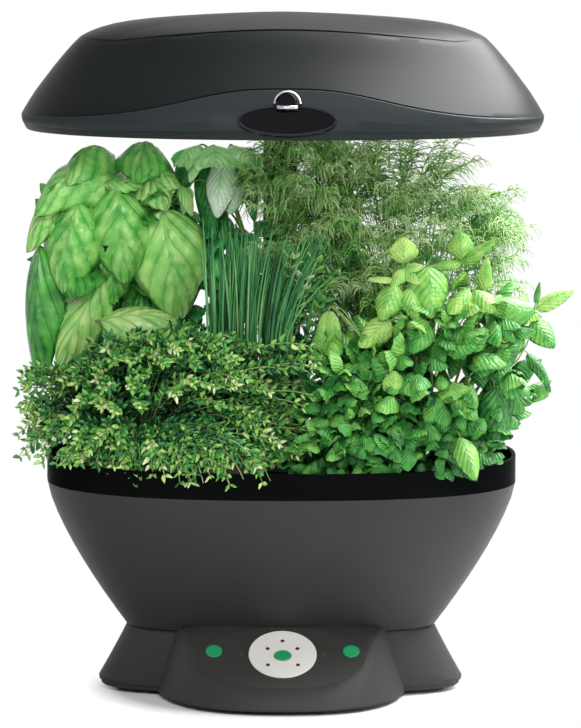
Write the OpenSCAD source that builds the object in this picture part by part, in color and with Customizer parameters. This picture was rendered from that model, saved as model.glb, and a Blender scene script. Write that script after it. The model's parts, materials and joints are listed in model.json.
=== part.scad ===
// Countertop hydroponic garden: a water bowl with six planted pods stands on a footed base with a
// sloping console, under a lamp hood that slides on a telescoping mast.
// Millimetres, +Z up, the front towards -Y, the origin on the table under the middle of the foot.

/* [Foot] */
// Width of the foot over its two side wings
foot_w = 280; // [234:1:340]
// Depth of the foot from the console lip to the tail
foot_d = 264; // [262:1:320]
// Depth of the side wings
wing_d = 108; // [100:1:130]
// Width of the console tongue at the table
tongue_w = 186; // [180:1:224]
// Height of the seat that carries the bowl
seat_h = 51; // [48:1:62]
// Slope of the console face from level, in degrees
console_tilt = 33.4; // [30:0.2:34]
// Height of the console's front lip
lip_h = 8; // [7:0.5:10]
// Wall of the foot housing
foot_wall = 3; // [2:0.1:3.6]
// Height of the rubber feet below the housing
rubber_h = 3; // [2:0.5:4]

/* [Console] */
// Width of the oval overlay
overlay_w = 126; // [105:1:130]
// Height of the oval overlay along the slope
overlay_h = 67; // [60:1:68]
// Diameter of the round dial face
dial_d = 51.5; // [43:0.5:62]
// Diameter of the two round side buttons
button_d = 12.6; // [10:0.1:15.2]
// Width of the oval button in the dial
select_w = 13; // [11:0.5:15.6]
// How far each button goes in when it is pressed
button_travel = 1; // [0.6:0.1:1.2]
// Gap round a button in its hole
button_gap = 0.3; // [0.2:0.05:0.5]

/* [Bowl and deck] */
// Width of the bowl and deck at the rim
rim_w = 360; // [320:1:432]
// Depth of the bowl and deck at the rim
rim_d = 256; // [250:1:264]
// Height of the bowl from its seat to its rim
bowl_h = 112; // [93:1:134]
// Wall of the bowl
bowl_wall = 3; // [2.4:0.1:3.6]
// Height of the glossy deck band
band_h = 20; // [17:1:24]
// Thickness of the deck plate and of the band
deck_t = 3; // [2.5:0.1:3.6]
// Diameter of the water filling port
port_d = 30; // [25:1:32]

/* [Pods] */
// Diameter of the grow basket's collar in the deck
basket_d = 40; // [33:0.5:44]
// Depth of a grow basket below the deck
basket_h = 52; // [43:1:60]
// Gap round a basket in its hole
basket_gap = 0.2; // [0.1:0.05:0.4]

/* [Mast] */
// Width of the inner mast
mast_w = 26; // [22:0.5:31]
// Depth of the inner mast
mast_d = 14; // [12:0.5:16]
// Wall of both mast tubes
mast_wall = 2.4; // [1.6:0.1:2.8]
// How far the hood can go down from its top stop
lamp_travel = 140; // [110:1:150]

/* [Hood] */
// Width of the lamp hood
hood_w = 400; // [384:1:480]
// Depth of the lamp hood
hood_d = 232; // [222:1:250]
// Height of the lamp hood
hood_h = 94; // [86:1:112]
// Height of the hood's lower edge above the table
hood_z = 432; // [420:1:460]
// Wall of the hood shell
hood_wall = 3; // [2:0.1:3.4]

/* [Hidden] */
$fn = 48;
touch = 0.3;                       // gap between a piece and a soft or moving neighbour
slip = 0.05;                       // radial gap of a pin or shaft in its bore
segments = 64;                     // points round each lofted outline
oval_power = 2.4;                  // squareness of the bowl, deck and hood outlines
eps = 0.01;

// Console
lip_y = -foot_d / 2;
panel_t = foot_wall;
panel_y = -foot_d / 3;             // middle of the overlay
overlay_t = 1.2;
overlay_stand = 0.5;               // how far the overlay stands above the console
dial_t = 1;
dial_v = 3.3;                      // middle of the dial, up the slope from the overlay's middle
dial_top = overlay_stand + dial_t;
button_side = 52;                  // side buttons, left and right of the middle
button_v = 7;
select_v = dial_v - 2;
select_h = select_w * 0.82;
cap_stand = 0.9;                   // how far a button cap stands above the face round it
flange_t = 1.2;
board_depth = 11;                  // top of the control board below the console face
board_t = 1.6;
switch_gap = button_travel + 0.15;
led_d = 3;
led_spots = [[0, 14.5], [-11.3, 6], [11.3, 6], [-11.3, -12], [11.3, -12]];
alert_x = 31;
alert_v = 4.5;
alert_d = 2;

// Foot
foot_top = seat_h + 11;            // console edge in front of the bowl
plate_t = 2.5;
plate_z = rubber_h;
rubber_d = 18;
rubber_spots = [for (s = [-1, 1]) [s * foot_w * 0.4, 0], for (s = [-1, 1], e = [-1, 1]) [s * 45, e * 85]];
screw_spots = [for (s = [-1, 1], e = [-1, 1]) [s * 62, e * 34]];
boss_d = 8;
screw_d = 3.4;
screw_head_d = 6.4;
screw_head_t = 1.6;
screw_len = 12;
inlet_d = 11;
inlet_bore_d = 5.5;
inlet_z = rubber_h + 9.5;
inlet_len = 14;
inlet_y = foot_d / 2 - 2.5;        // outer face of the inlet

// Bowl
bowl_z = seat_h;
rim_z = bowl_z + bowl_h;
bowl_foot_w = rim_w * 0.66;
bowl_foot_d = rim_d * 0.42;
bulge = 1.35;                      // how soon the bowl's wall turns upright
bowl_steps = 9;

// Deck
plate_top = rim_z + 12;
band_top = rim_z + band_h;
lip_depth = 6;                     // locating lip below the rim
pod_spots = [[-105, 38], [0, 38], [105, 38], [-115, -42], [0, -48], [115, -42]];
basket_wall = 1.6;
basket_flange_d = basket_d + 6;
basket_flange_t = 2;
basket_foot_d = basket_d * 0.65;
label_t = 0.4;
port_spot = [72, 92];
lid_d = port_d + 5;
lid_t = 2;
lid_pin_d = 2;
lid_barrel_d = 4.6;
lid_hinge_y = port_spot[1] + lid_d / 2 + 2.5;
lid_hinge_z = plate_top + touch + lid_barrel_d / 2;
lid_barrel_w = 15;
ear_t = 3;

// Water
pump_spot = [-60, 0];
pump_w = 44;
pump_d = 40;
pump_h = 34;
pump_z = bowl_z + bowl_wall + touch;
pump_cavity_d = 30;
pump_cavity_h = 14;
impeller_d = 26;
impeller_h = 10;
shaft_d = 3;
tube_d = 8;
tube_bore = 5;
tube_shift = -15;                  // outlet tube, along X from the pump's middle
manifold_w = 12;
manifold_h = 9;

// Mast
mast_y = 96;
mast_outer_wall = mast_wall;
mast_slot_w = mast_w + 1;          // inside of the outer mast
mast_slot_d = mast_d + 1;
mast_outer_w = mast_slot_w + 2 * mast_outer_wall;
mast_outer_d = mast_slot_d + 2 * mast_outer_wall;
mast_outer_z = plate_z + plate_t + touch;
mast_outer_top = hood_z - lamp_travel - 2;
collar_h = 16;
collar_wall = 3;
slide_h = 18;
mast_inner_z = mast_outer_z + lamp_travel + 20;
mast_inner_top = hood_z + 20;
channel_w = mast_outer_w + 2 * collar_wall + 2;
channel_y = mast_y - mast_outer_d / 2 - collar_wall - 1;
lead_d = 6;

// Hood
hood_lip_h = 5;
hood_shell_z = hood_z + hood_lip_h;
// Stations of the hood from its lower edge up: share of the height, of the width and of the depth
hood_stations = [
    [0, 0.994, 0.992], [0.07, 1, 1], [0.16, 0.993, 0.965], [0.26, 0.975, 0.9], [0.36, 0.948, 0.832],
    [0.48, 0.908, 0.752], [0.6, 0.862, 0.672], [0.72, 0.804, 0.6], [0.8, 0.74, 0.55], [0.87, 0.64, 0.49],
    [0.93, 0.48, 0.38], [0.975, 0.27, 0.22], [1, 0.06, 0.05]
];
tray_z = hood_z + 0.5 * hood_h;    // top of the reflector
reflector_t = 1;
reflector_y = -12;
reflector_foot = [hood_w / 2 - 18, hood_d / 2 - 22];
reflector_head = [hood_w * 0.36, hood_d * 0.24];
ballast = [90, 56, 20];
socket = [26, 48, 24];
socket_x = 116;
bulb_d = 12;
bulb_len = 92;
bulb_gap = 18;                     // between the two legs of a bulb
bulb_base = [14, 44, 20];
hood_screw_x = 92;
hood_screw_y = 30;
bracket_w = 46;

// Badge on the hood's front face
face_low = [-hood_d / 2, hood_z + 0.085 * hood_h];
face_high = [-hood_d * 0.26, hood_z + 0.894 * hood_h];
face_lean = atan2(face_high[1] - face_low[1], face_high[0] - face_low[0]);
badge_lean = face_lean + 6;        // the badge stands a little more upright than the face
badge_depth = 6;                   // how far the badge reaches back to meet the curved face
badge_w = 79;
badge_h = 25;
badge_t = 2.6;
badge_rim_w = 1.9;
badge_up = 10;                     // badge middle, up the face from its lower end
badge_x = 4;
dome_d = 18;
dome_up = 27;

// Plants
leaf_wall = 4;
root_z = plate_top + basket_flange_t + label_t + touch;
canopy = hood_z - 4 - root_z;      // height from a pod to the tallest leaf

// ---- Shared shapes ----

function side(v) = v < 0 ? -1 : 1;

// Point of a rounded oval with half axes a and b at angle t
function oval_at(a, b, t, power) =
    [a * side(cos(t)) * pow(abs(cos(t)), 2 / power), b * side(sin(t)) * pow(abs(sin(t)), 2 / power)];

function oval(a, b, power = oval_power, count = segments) =
    [for (i = [0:count - 1]) oval_at(a, b, 360 * i / count, power)];

function ring(outline, z, shift = [0, 0]) = [for (p = outline) [p[0] + shift[0], p[1] + shift[1], z]];

// Closed solid through a stack of rings with the same number of points, lowest first
module loft(rings) {
    n = len(rings[0]);
    last = (len(rings) - 1) * n;
    sides = [for (k = [0:len(rings) - 2], i = [0:n - 1])
        let (a = k * n + i, b = k * n + (i + 1) % n)
        each [[a, a + n, b], [b, a + n, b + n]]];
    ends = [for (i = [1:n - 2]) each [[0, i, i + 1], [last, last + i + 1, last + i]]];
    polyhedron(points = [for (r = rings) each r], faces = concat(sides, ends), convexity = 8);
}

// Wall of the given thickness, standing on z, that follows an oval of the deck or the hood
module oval_band(a, b, wall, z, h) {
    translate([0, 0, z]) linear_extrude(h) difference() {
        polygon(oval(a, b));
        polygon(oval(a - wall, b - wall));
    }
}

module block(size, at) {
    translate([at[0], at[1], at[2] + size[2] / 2]) cube(size, center = true);
}

module rod(d, h, at) {
    translate(at) cylinder(d = d, h = h);
}

// ---- Foot ----

function console_z(y) = lip_h + (y - lip_y) * tan(console_tilt);

// Puts its children on the console face, with z along the outward normal and y up the slope
module on_console(u = 0, v = 0) {
    translate([u, panel_y + v * cos(console_tilt), console_z(panel_y) + v * sin(console_tilt)])
        rotate([console_tilt, 0, 0]) children();
}

module wings(inset) {
    a = foot_w / 2;
    b = wing_d / 2;
    top = bowl_foot_w / 2;
    low = rubber_h - (inset > 0 ? eps : 0);
    stations = [[low, a - 3, b - 2], [rubber_h + 7, a, b], [seat_h * 0.57, a - (a - top) * 0.48, b - 3],
                [seat_h - inset, top, b - 5]];
    loft([for (s = stations) ring(oval(s[1] - inset, s[2] - inset, 2.3), s[0])]);
}

// The tongue and the tail, under the two sloping faces
module tongue(inset) {
    a = tongue_w / 2;
    b = foot_d / 2;
    low = rubber_h - (inset > 0 ? eps : 0);
    drop = inset / cos(console_tilt);
    half_top = b - (foot_top - lip_h) / tan(console_tilt);
    intersection() {
        loft([
            ring(oval(a - inset, b - inset, 2.1), low),
            ring(oval(a - 15 - inset, b - 3 - inset, 2.1), foot_top + 1)
        ]);
        rotate([90, 0, 90]) linear_extrude(foot_w, center = true) polygon([
            [-b - 1, low], [b + 1, low], [b + 1, lip_h - drop], [b, lip_h - drop],
            [half_top, foot_top - drop], [-half_top, foot_top - drop], [-b, lip_h - drop],
            [-b - 1, lip_h - drop]
        ]);
    }
}

module foot_solid(inset) {
    wings(inset);
    tongue(inset);
}

// Space inside the housing, under the console faces and under the seat of the bowl
module foot_hollow() {
    difference() {
        foot_solid(foot_wall);
        bowl_solid(-foot_wall, bowl_z - foot_wall);
    }
}

module select_outline(gap) {
    polygon(oval(select_w / 2 + gap, select_h / 2 + gap, 2, 40));
}

module base_housing() {
    color("#2b2b2d") {
        difference() {
            foot_solid(0);
            foot_hollow();
            bowl_solid(-slip, bowl_z);
            on_console(0, 0) {
                translate([0, 0, overlay_stand - overlay_t])
                    linear_extrude(10) polygon(oval(overlay_w / 2 + 0.15, overlay_h / 2 + 0.15, 2.1));
            }
            on_console(0, select_v) translate([0, 0, -8]) linear_extrude(12) select_outline(button_gap);
            for (s = [-1, 1]) {
                on_console(s * button_side, button_v) rod(button_d + 2 * button_gap, 12, [0, 0, -8]);
                on_console(s * alert_x, alert_v) rod(alert_d + 0.4, 12, [0, 0, -8]);
            }
            for (p = led_spots) on_console(p[0], dial_v + p[1]) rod(led_d + 0.4, 12, [0, 0, -8]);
            translate([0, foot_d / 2 + 1, inlet_z]) rotate([90, 0, 0]) cylinder(d = inlet_d, h = 20);
            translate([0, foot_d / 2 + 9.5, inlet_z]) cube([18, 24, 16], center = true);
            mast_plug(slip * 2, foot_top + 10);
        }
        screw_bosses();
    }
}

module screw_bosses() {
    low = plate_z + plate_t;
    difference() {
        intersection() {
            for (p = screw_spots) rod(boss_d, seat_h - foot_wall + 1 - low, [p[0], p[1], low]);
            foot_solid(foot_wall - 1);
        }
        for (p = screw_spots) rod(screw_d, screw_len, [p[0], p[1], plate_z]);
    }
}

module base_plate() {
    gap = foot_wall + touch;
    color("#232325") difference() {
        translate([0, 0, plate_z]) linear_extrude(plate_t) {
            polygon(oval(foot_w / 2 - 3 - gap, wing_d / 2 - 2 - gap, 2.3));
            polygon(oval(tongue_w / 2 - gap - 0.7, foot_d / 2 - gap - 0.3, 2.1));
        }
        for (p = screw_spots) {
            rod(screw_d + 0.2, plate_t + 2, [p[0], p[1], plate_z - 1]);
            rod(screw_head_d + 0.4, screw_head_t + 1, [p[0], p[1], plate_z - 1]);
        }
    }
}

module rubber_feet() {
    color("#161616") for (p = rubber_spots) rod(rubber_d, rubber_h, [p[0], p[1], 0]);
}

module base_screws() {
    color("silver") for (p = screw_spots) {
        rod(screw_head_d, screw_head_t, [p[0], p[1], plate_z]);
        rod(screw_d - 0.1, screw_len - 1, [p[0], p[1], plate_z]);
    }
}

module power_inlet() {
    color("#1a1a1a") difference() {
        translate([0, inlet_y, inlet_z]) rotate([90, 0, 0]) {
            cylinder(d = inlet_d - 0.1, h = inlet_len);
        }
        translate([0, inlet_y + 1, inlet_z]) rotate([90, 0, 0]) cylinder(d = inlet_bore_d, h = 10);
    }
}

// ---- Console ----

module control_board() {
    w = overlay_w - 22;
    h = overlay_h - 16;
    color("#2f6b3a") on_console() difference() {
        translate([0, 0, -board_depth - board_t]) linear_extrude(board_t) polygon(oval(w / 2, h / 2, 3.2));
        for (s = [-1, 1]) rod(3, board_t + 2, [s * (w / 2 - 7), -2, -board_depth - board_t - 1]);
    }
    // Two posts hold the board under the console face
    color("#2b2b2d") for (s = [-1, 1]) on_console(s * (w / 2 - 7), -2)
        rod(2.9, board_depth - foot_wall + board_t, [0, 0, -board_depth - board_t]);
}

module tact_switches() {
    color("#b8bcc0") for (s = [[-button_side, button_v], [0, select_v], [button_side, button_v]])
        on_console(s[0], s[1]) translate([0, 0, -board_depth]) {
            translate([-3, -3, 0]) cube([6, 6, 3.4]);
            cylinder(d = 3.4, h = 4.2);
        }
}

module console_overlay() {
    color("#202022") difference() {
        on_console() translate([0, 0, overlay_stand - overlay_t])
            linear_extrude(overlay_t) polygon(oval(overlay_w / 2, overlay_h / 2, 2.1));
        on_console(0, select_v) translate([0, 0, -8]) linear_extrude(12) select_outline(button_gap);
        for (s = [-1, 1]) {
            on_console(s * button_side, button_v) rod(button_d + 2 * button_gap, 12, [0, 0, -8]);
            on_console(s * alert_x, alert_v) rod(alert_d + 0.2, 12, [0, 0, -8]);
        }
        for (p = led_spots) on_console(p[0], dial_v + p[1]) rod(led_d + 0.2, 12, [0, 0, -8]);
    }
}

module dial_face() {
    color("#ece9df") difference() {
        on_console(0, dial_v) rod(dial_d, dial_t, [0, 0, overlay_stand]);
        on_console(0, select_v) translate([0, 0, -1]) linear_extrude(6) select_outline(button_gap);
        for (p = led_spots) on_console(p[0], dial_v + p[1]) rod(led_d + 0.2, 6, [0, 0, -1]);
    }
}

// Five lights in the dial and one on each side of it
module console_lights() {
    color("#7a1f16") {
        for (p = led_spots) on_console(p[0], dial_v + p[1])
            rod(led_d, board_depth + dial_top + 0.3, [0, 0, -board_depth]);
        for (s = [-1, 1]) on_console(s * alert_x, alert_v)
            rod(alert_d, board_depth + overlay_stand + 0.3, [0, 0, -board_depth]);
    }
}

// Stem and retaining flange under a button cap
module button_stem() {
    stem_low = -board_depth + 4.2 + switch_gap;
    rod(4, -panel_t - touch - flange_t - stem_low + eps, [0, 0, stem_low]);
}

module side_button(s) {
    flange_z = -panel_t - touch - flange_t;
    color("#1f9a5b") on_console(s * button_side, button_v) {
        button_stem();
        rod(button_d + 2.4, flange_t, [0, 0, flange_z]);
        rod(button_d, overlay_stand + cap_stand - flange_z, [0, 0, flange_z]);
    }
}

module left_button() {
    side_button(-1);
}

module right_button() {
    side_button(1);
}

module select_button() {
    flange_z = -panel_t - touch - flange_t;
    color("#1f9a5b") on_console(0, select_v) {
        button_stem();
        translate([0, 0, flange_z]) linear_extrude(flange_t) select_outline(1.2);
        translate([0, 0, flange_z]) linear_extrude(dial_top + cap_stand - flange_z) select_outline(0);
    }
}

// ---- Bowl and deck ----

function bowl_share(u) = 1 - pow(1 - u, bulge);

// Solid of the bowl's outside, drawn in by inset, from its foot or from low up to the rim
module bowl_solid(inset, low) {
    loft([for (i = [0:bowl_steps]) let (
        u = i / bowl_steps,
        a = bowl_foot_w / 2 + (rim_w - bowl_foot_w) / 2 * bowl_share(u),
        b = bowl_foot_d / 2 + (rim_d - bowl_foot_d) / 2 * bowl_share(u)
    ) ring(oval(a - inset, b - inset), low + (rim_z + (inset > 0 ? eps : 0) - low) * u)]);
}

// Space at the back that the mast stands in
module mast_channel(grow) {
    w = channel_w + 2 * grow;
    translate([-w / 2, channel_y - grow, bowl_z - 1]) cube([w, rim_d, band_top + 5 - bowl_z]);
}

module bowl() {
    color("#38373a") difference() {
        bowl_solid(0, bowl_z);
        mast_channel(0);
        difference() {
            bowl_solid(bowl_wall, bowl_z + bowl_wall);
            mast_channel(bowl_wall);
        }
    }
}

module grow_deck() {
    a = rim_w / 2;
    b = rim_d / 2;
    inner = bowl_wall + 2.4;
    plate_low = plate_top - deck_t;
    color("#151517") {
        difference() {
            union() {
                oval_band(a, b, deck_t, rim_z, band_h);
                translate([0, 0, plate_low]) linear_extrude(deck_t) polygon(oval(a - deck_t, b - deck_t));
                difference() {
                    oval_band(a - inner, b - inner, 2, rim_z - lip_depth, plate_low - rim_z + lip_depth + 1);
                    mast_channel(bowl_wall + touch);
                }
                intersection() {
                    translate([0, 0, rim_z]) linear_extrude(band_h) polygon(oval(a, b));
                    difference() {
                        mast_channel(bowl_wall);
                        mast_channel(0);
                    }
                }
            }
            mast_channel(0);
            for (p = pod_spots) rod(basket_d + 2 * basket_gap, deck_t + 2, [p[0], p[1], plate_low - 1]);
            rod(port_d, deck_t + 2, [port_spot[0], port_spot[1], plate_low - 1]);
        }
        for (s = [-1, 1]) lid_ear(s);
    }
}

module lid_ear(s) {
    x = port_spot[0] + s * (lid_barrel_w / 2 + 0.3 + ear_t / 2);
    difference() {
        block([ear_t, lid_barrel_d, lid_hinge_z + lid_barrel_d / 2 - plate_top], [x, lid_hinge_y, plate_top]);
        translate([x, lid_hinge_y, lid_hinge_z]) rotate([0, 90, 0])
            cylinder(d = lid_pin_d + 2 * slip, h = ear_t + 2, center = true);
    }
}

module fill_lid() {
    lid_z = plate_top + touch;
    color("#151517") difference() {
        union() {
            rod(lid_d, lid_t, [port_spot[0], port_spot[1], lid_z]);
            translate([port_spot[0] - 5, port_spot[1], lid_z]) cube([10, lid_hinge_y - port_spot[1], lid_t]);
            translate([port_spot[0], lid_hinge_y, lid_hinge_z]) rotate([0, 90, 0])
                cylinder(d = lid_barrel_d, h = lid_barrel_w, center = true);
            translate([port_spot[0] - 6, port_spot[1] - lid_d / 2 + 1, lid_z + lid_t]) cube([12, 3, 2]);
        }
        translate([port_spot[0], lid_hinge_y, lid_hinge_z]) rotate([0, 90, 0])
            cylinder(d = lid_pin_d + 2 * slip, h = lid_barrel_w + 2, center = true);
    }
}

module fill_lid_pin() {
    w = lid_barrel_w + 2 * ear_t + 0.6;
    color("silver") translate([port_spot[0], lid_hinge_y, lid_hinge_z]) rotate([0, 90, 0])
        cylinder(d = lid_pin_d, h = w, center = true);
}

// ---- Pods ----

module grow_basket(i) {
    p = pod_spots[i];
    top = basket_d / 2;
    foot = basket_foot_d / 2;
    low = plate_top - basket_h;
    color("#2a2a2c") translate([p[0], p[1], 0]) difference() {
        rotate_extrude() polygon([
            [0, low], [foot, low], [top - 1, plate_top - deck_t - 2], [top, plate_top - deck_t - 1],
            [top, plate_top], [basket_flange_d / 2, plate_top],
            [basket_flange_d / 2, plate_top + basket_flange_t],
            [top - basket_wall, plate_top + basket_flange_t], [top - basket_wall, plate_top - deck_t],
            [foot - basket_wall, low + basket_wall], [0, low + basket_wall]
        ]);
        for (k = [0:2]) rotate([0, 0, 60 * k + 30]) translate([-basket_d, -2, low + 8])
            cube([2 * basket_d, 4, 22]);
        rod(8, 4, [0, 0, low - 1]);
    }
}

module grow_sponge(i) {
    p = pod_spots[i];
    gap = basket_wall + 0.3;
    low = plate_top - basket_h + basket_wall;
    color("#8a6b46") translate([p[0], p[1], 0]) rotate_extrude() polygon([
        [3, low], [basket_foot_d / 2 - gap, low], [basket_d / 2 - gap, plate_top - deck_t],
        [basket_d / 2 - gap, plate_top + basket_flange_t], [3, plate_top + basket_flange_t]
    ]);
}

module pod_labels() {
    color("#e8e6da") for (p = pod_spots) translate([p[0], p[1], plate_top + basket_flange_t]) difference() {
        cylinder(d = basket_flange_d - 2, h = label_t);
        rod(12, 2, [0, 0, -1]);
    }
}

// ---- Water ----

module pump_body() {
    x = pump_spot[0];
    y = pump_spot[1];
    color("#2f3133") difference() {
        block([pump_w, pump_d, pump_h], [x, y, pump_z]);
        rod(pump_cavity_d, pump_cavity_h, [x, y, pump_z + pump_h - pump_cavity_h]);
        rod(shaft_d, 6, [x, y, pump_z + pump_h - pump_cavity_h - 5]);
        rod(tube_d, 12, [x + tube_shift, y + tube_shift, pump_z + pump_h - 10]);
        translate([x + tube_shift, y + tube_shift, pump_z + pump_h - 6]) rotate([0, 90, 45])
            cylinder(d = 4, h = 14);
    }
}

module pump_cover() {
    x = pump_spot[0];
    y = pump_spot[1];
    color("#3b3e41") difference() {
        block([pump_w, pump_d, 2.5], [x, y, pump_z + pump_h]);
        rod(shaft_d, 4, [x, y, pump_z + pump_h - 1]);
        rod(tube_d + 0.1, 4, [x + tube_shift, y + tube_shift, pump_z + pump_h - 1]);
        for (k = [0:7]) rotate_at([x, y], 45 * k) translate([6, -1, pump_z + pump_h - 1]) cube([5, 2, 4]);
    }
}

module rotate_at(centre, angle) {
    translate([centre[0], centre[1], 0]) rotate([0, 0, angle]) children();
}

module pump_shaft() {
    low = pump_z + pump_h - pump_cavity_h - 5;
    color("silver") rod(shaft_d - 0.02, pump_cavity_h + 7, [pump_spot[0], pump_spot[1], low]);
}

module pump_impeller() {
    low = pump_z + pump_h - pump_cavity_h + touch;
    color("#c9ccd0") translate([pump_spot[0], pump_spot[1], low]) difference() {
        union() {
            cylinder(d = impeller_d, h = 3);
            cylinder(d = 9, h = impeller_h);
            for (k = [0:5]) rotate([0, 0, 60 * k]) translate([2.5, -0.8, 1.5])
                cube([impeller_d / 2 - 3.5, 1.6, impeller_h - 2.5]);
        }
        rod(shaft_d + 2 * slip, impeller_h + 2, [0, 0, -1]);
    }
}

module water_tube() {
    low = pump_z + pump_h - 10;
    color("#dfe3e2") translate([pump_spot[0] + tube_shift, pump_spot[1] + tube_shift, low]) difference() {
        cylinder(d = tube_d - 0.1, h = plate_top - deck_t - manifold_h + 3 - low);
        rod(tube_bore, 200, [0, 0, -1]);
    }
}

module drip_manifold() {
    z = plate_top - deck_t - manifold_h;
    y = pump_spot[1] + tube_shift;
    color("#26282a") difference() {
        union() {
            block([230, manifold_w, manifold_h], [0, 0, z]);
            block([manifold_w, -y + manifold_w / 2, manifold_h], [pump_spot[0] + tube_shift, y / 2, z]);
        }
        rod(tube_d, 4, [pump_spot[0] + tube_shift, y, z - 1]);
        block([222, manifold_w - 4, manifold_h - 4], [0, 0, z + 3]);
        block([4, -y, manifold_h - 4], [pump_spot[0] + tube_shift, y / 2, z + 3]);
    }
}

// ---- Mast ----

module mast_plug(gap, h) {
    block([mast_outer_w + 2 * gap, mast_outer_d + 2 * gap, h], [0, mast_y, mast_outer_z - touch]);
}

module mast_outer() {
    h = mast_outer_top - mast_outer_z;
    color("#1d1d1f") difference() {
        block([mast_outer_w, mast_outer_d, h], [0, mast_y, mast_outer_z]);
        block([mast_slot_w, mast_slot_d, h], [0, mast_y, mast_outer_z + 3]);
    }
}

// Trim round the top of the outer mast, with the stop that keeps the inner mast in
module mast_collar() {
    w = mast_outer_w + 2 * collar_wall;
    d = mast_outer_d + 2 * collar_wall;
    low = mast_outer_top - collar_h;
    color("#151517") difference() {
        union() {
            block([w, d, collar_h], [0, mast_y, low]);
            block([w, d, 1.5], [0, mast_y, mast_outer_top]);
        }
        block([mast_outer_w, mast_outer_d, collar_h], [0, mast_y, low]);
        block([mast_w + 0.4, mast_d + 0.4, 4], [0, mast_y, mast_outer_top - 1]);
    }
}

module mast_inner() {
    color("#1d1d1f") difference() {
        block([mast_w, mast_d, mast_inner_top - mast_inner_z], [0, mast_y, mast_inner_z]);
        block([mast_w - 2 * mast_wall, mast_d - 2 * mast_wall, mast_inner_top],
            [0, mast_y, mast_inner_z - 1]);
    }
}

// Two bushes on the inner mast: a guide at its foot and the stop under the collar
module mast_slides() {
    color("#d8d6cf") for (z = [mast_inner_z + 2, mast_outer_top - touch - slide_h]) difference() {
        block([mast_slot_w - 0.3, mast_slot_d - 0.3, slide_h], [0, mast_y, z]);
        block([mast_w, mast_d, slide_h + 2], [0, mast_y, z - 1]);
    }
}

module lamp_lead() {
    low = mast_outer_z + 3;
    color("#222222") rod(lead_d, mast_inner_top - 2 - low, [0, mast_y, low]);
}

// ---- Hood ----

module hood_solid(inset) {
    loft([for (s = hood_stations)
        ring(oval(max(hood_w / 2 * s[1] - inset, 1), max(hood_d / 2 * s[2] - inset, 1), 2.2),
            hood_z + s[0] * (hood_h - inset))]);
}

// Half space above a height, wide enough for the whole hood
module above(z) {
    translate([0, 0, z + 200]) cube([hood_w + 200, hood_w + 200, 400], center = true);
}

module hood_shell() {
    color("#3a3b40") {
        difference() {
            intersection() {
                hood_solid(0);
                above(hood_shell_z);
            }
            hood_solid(hood_wall);
        }
        hood_bosses();
    }
}

module at_hood_screws() {
    for (s = [-1, 1], e = [-1, 1])
        translate([s * hood_screw_x, reflector_y + e * hood_screw_y, tray_z]) children();
}

module hood_bosses() {
    difference() {
        intersection() {
            at_hood_screws() cylinder(d = boss_d, h = hood_h);
            hood_solid(hood_wall - 1);
        }
        at_hood_screws() rod(screw_d, 12, [0, 0, -1]);
    }
}

module hood_lip() {
    a = hood_w / 2 * 0.994;
    b = hood_d / 2 * 0.992;
    color("#2c2d31") translate([0, 0, hood_z]) linear_extrude(hood_lip_h - slip) difference() {
        polygon(oval(a, b, 2.2));
        polygon(oval(a - hood_wall, b - hood_wall, 2.2));
    }
}

module reflector_solid(inset) {
    n = 48;
    low = hood_z + 3 - (inset > 0 ? eps : 0);
    loft([
        ring(oval(reflector_foot[0] - inset, reflector_foot[1] - inset, 2.4, n), low, [0, reflector_y]),
        ring(oval(reflector_head[0] - inset, reflector_head[1] - inset, 2.4, n), tray_z - inset,
            [0, reflector_y])
    ]);
}

module reflector() {
    color("#f1f1ee") difference() {
        reflector_solid(0);
        reflector_solid(reflector_t);
        at_hood_screws() rod(screw_d, 6, [0, 0, -3]);
    }
}

module hood_screws() {
    color("silver") at_hood_screws() translate([0, 0, -reflector_t - screw_head_t]) {
        cylinder(d = screw_head_d, h = screw_head_t);
        cylinder(d = screw_d - 0.1, h = reflector_t + screw_head_t + 8);
    }
}

module ballast() {
    color("#9aa0a5") block(ballast, [0, reflector_y, tray_z]);
}

// Lamp sockets hang under the flat top of the reflector
module socket_at(s) {
    z = tray_z - reflector_t - socket[2];
    color("#e6e4dc") difference() {
        block(socket, [s * socket_x, reflector_y, z]);
        block([bulb_base[0] - 4 + eps, bulb_base[1] + 0.4, bulb_base[2] + 0.4],
            [s * (socket_x - socket[0] / 2 + (bulb_base[0] - 4) / 2), reflector_y,
                z + (socket[2] - bulb_base[2]) / 2 - 0.2]);
    }
}

module socket_left() {
    socket_at(-1);
}

module socket_right() {
    socket_at(1);
}

// Twin-tube lamp: two straight legs joined by a cross tube at the far end
module bulb_at(s) {
    z = tray_z - reflector_t - socket[2] / 2;
    inner = socket_x - socket[0] / 2;
    base_z = z - bulb_base[2] / 2;
    far = inner - 4 - bulb_len + bulb_d / 2;
    color("#f7f7f2") {
        block(bulb_base, [s * (inner - 4 + bulb_base[0] / 2 - 0.2), reflector_y, base_z]);
        for (e = [-1, 1])
            translate([s * (inner - 4), reflector_y + e * bulb_gap / 2, z]) rotate([0, -90 * s, 0])
            cylinder(d = bulb_d, h = bulb_len - bulb_d / 2);
        for (e = [-1, 1]) translate([s * far, reflector_y + e * bulb_gap / 2, z]) sphere(d = bulb_d);
        translate([s * far, reflector_y, z]) rotate([90, 0, 0]) cylinder(d = 8, h = bulb_gap, center = true);
    }
}

module bulb_left() {
    bulb_at(-1);
}

module bulb_right() {
    bulb_at(1);
}

// Block inside the back of the hood that holds the top of the mast
module hood_bracket() {
    d = mast_d + 12;
    color("#26272a") difference() {
        intersection() {
            block([bracket_w, d, 60], [0, mast_y, hood_z + 3]);
            hood_solid(hood_wall + slip);
        }
        block([mast_w, mast_d, mast_inner_top - hood_z + 20], [0, mast_y, hood_z - 20]);
        reflector_solid(-touch);
        rod(lead_d + 1, 60, [0, mast_y, hood_z]);
    }
}

// ---- Badge ----

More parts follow.
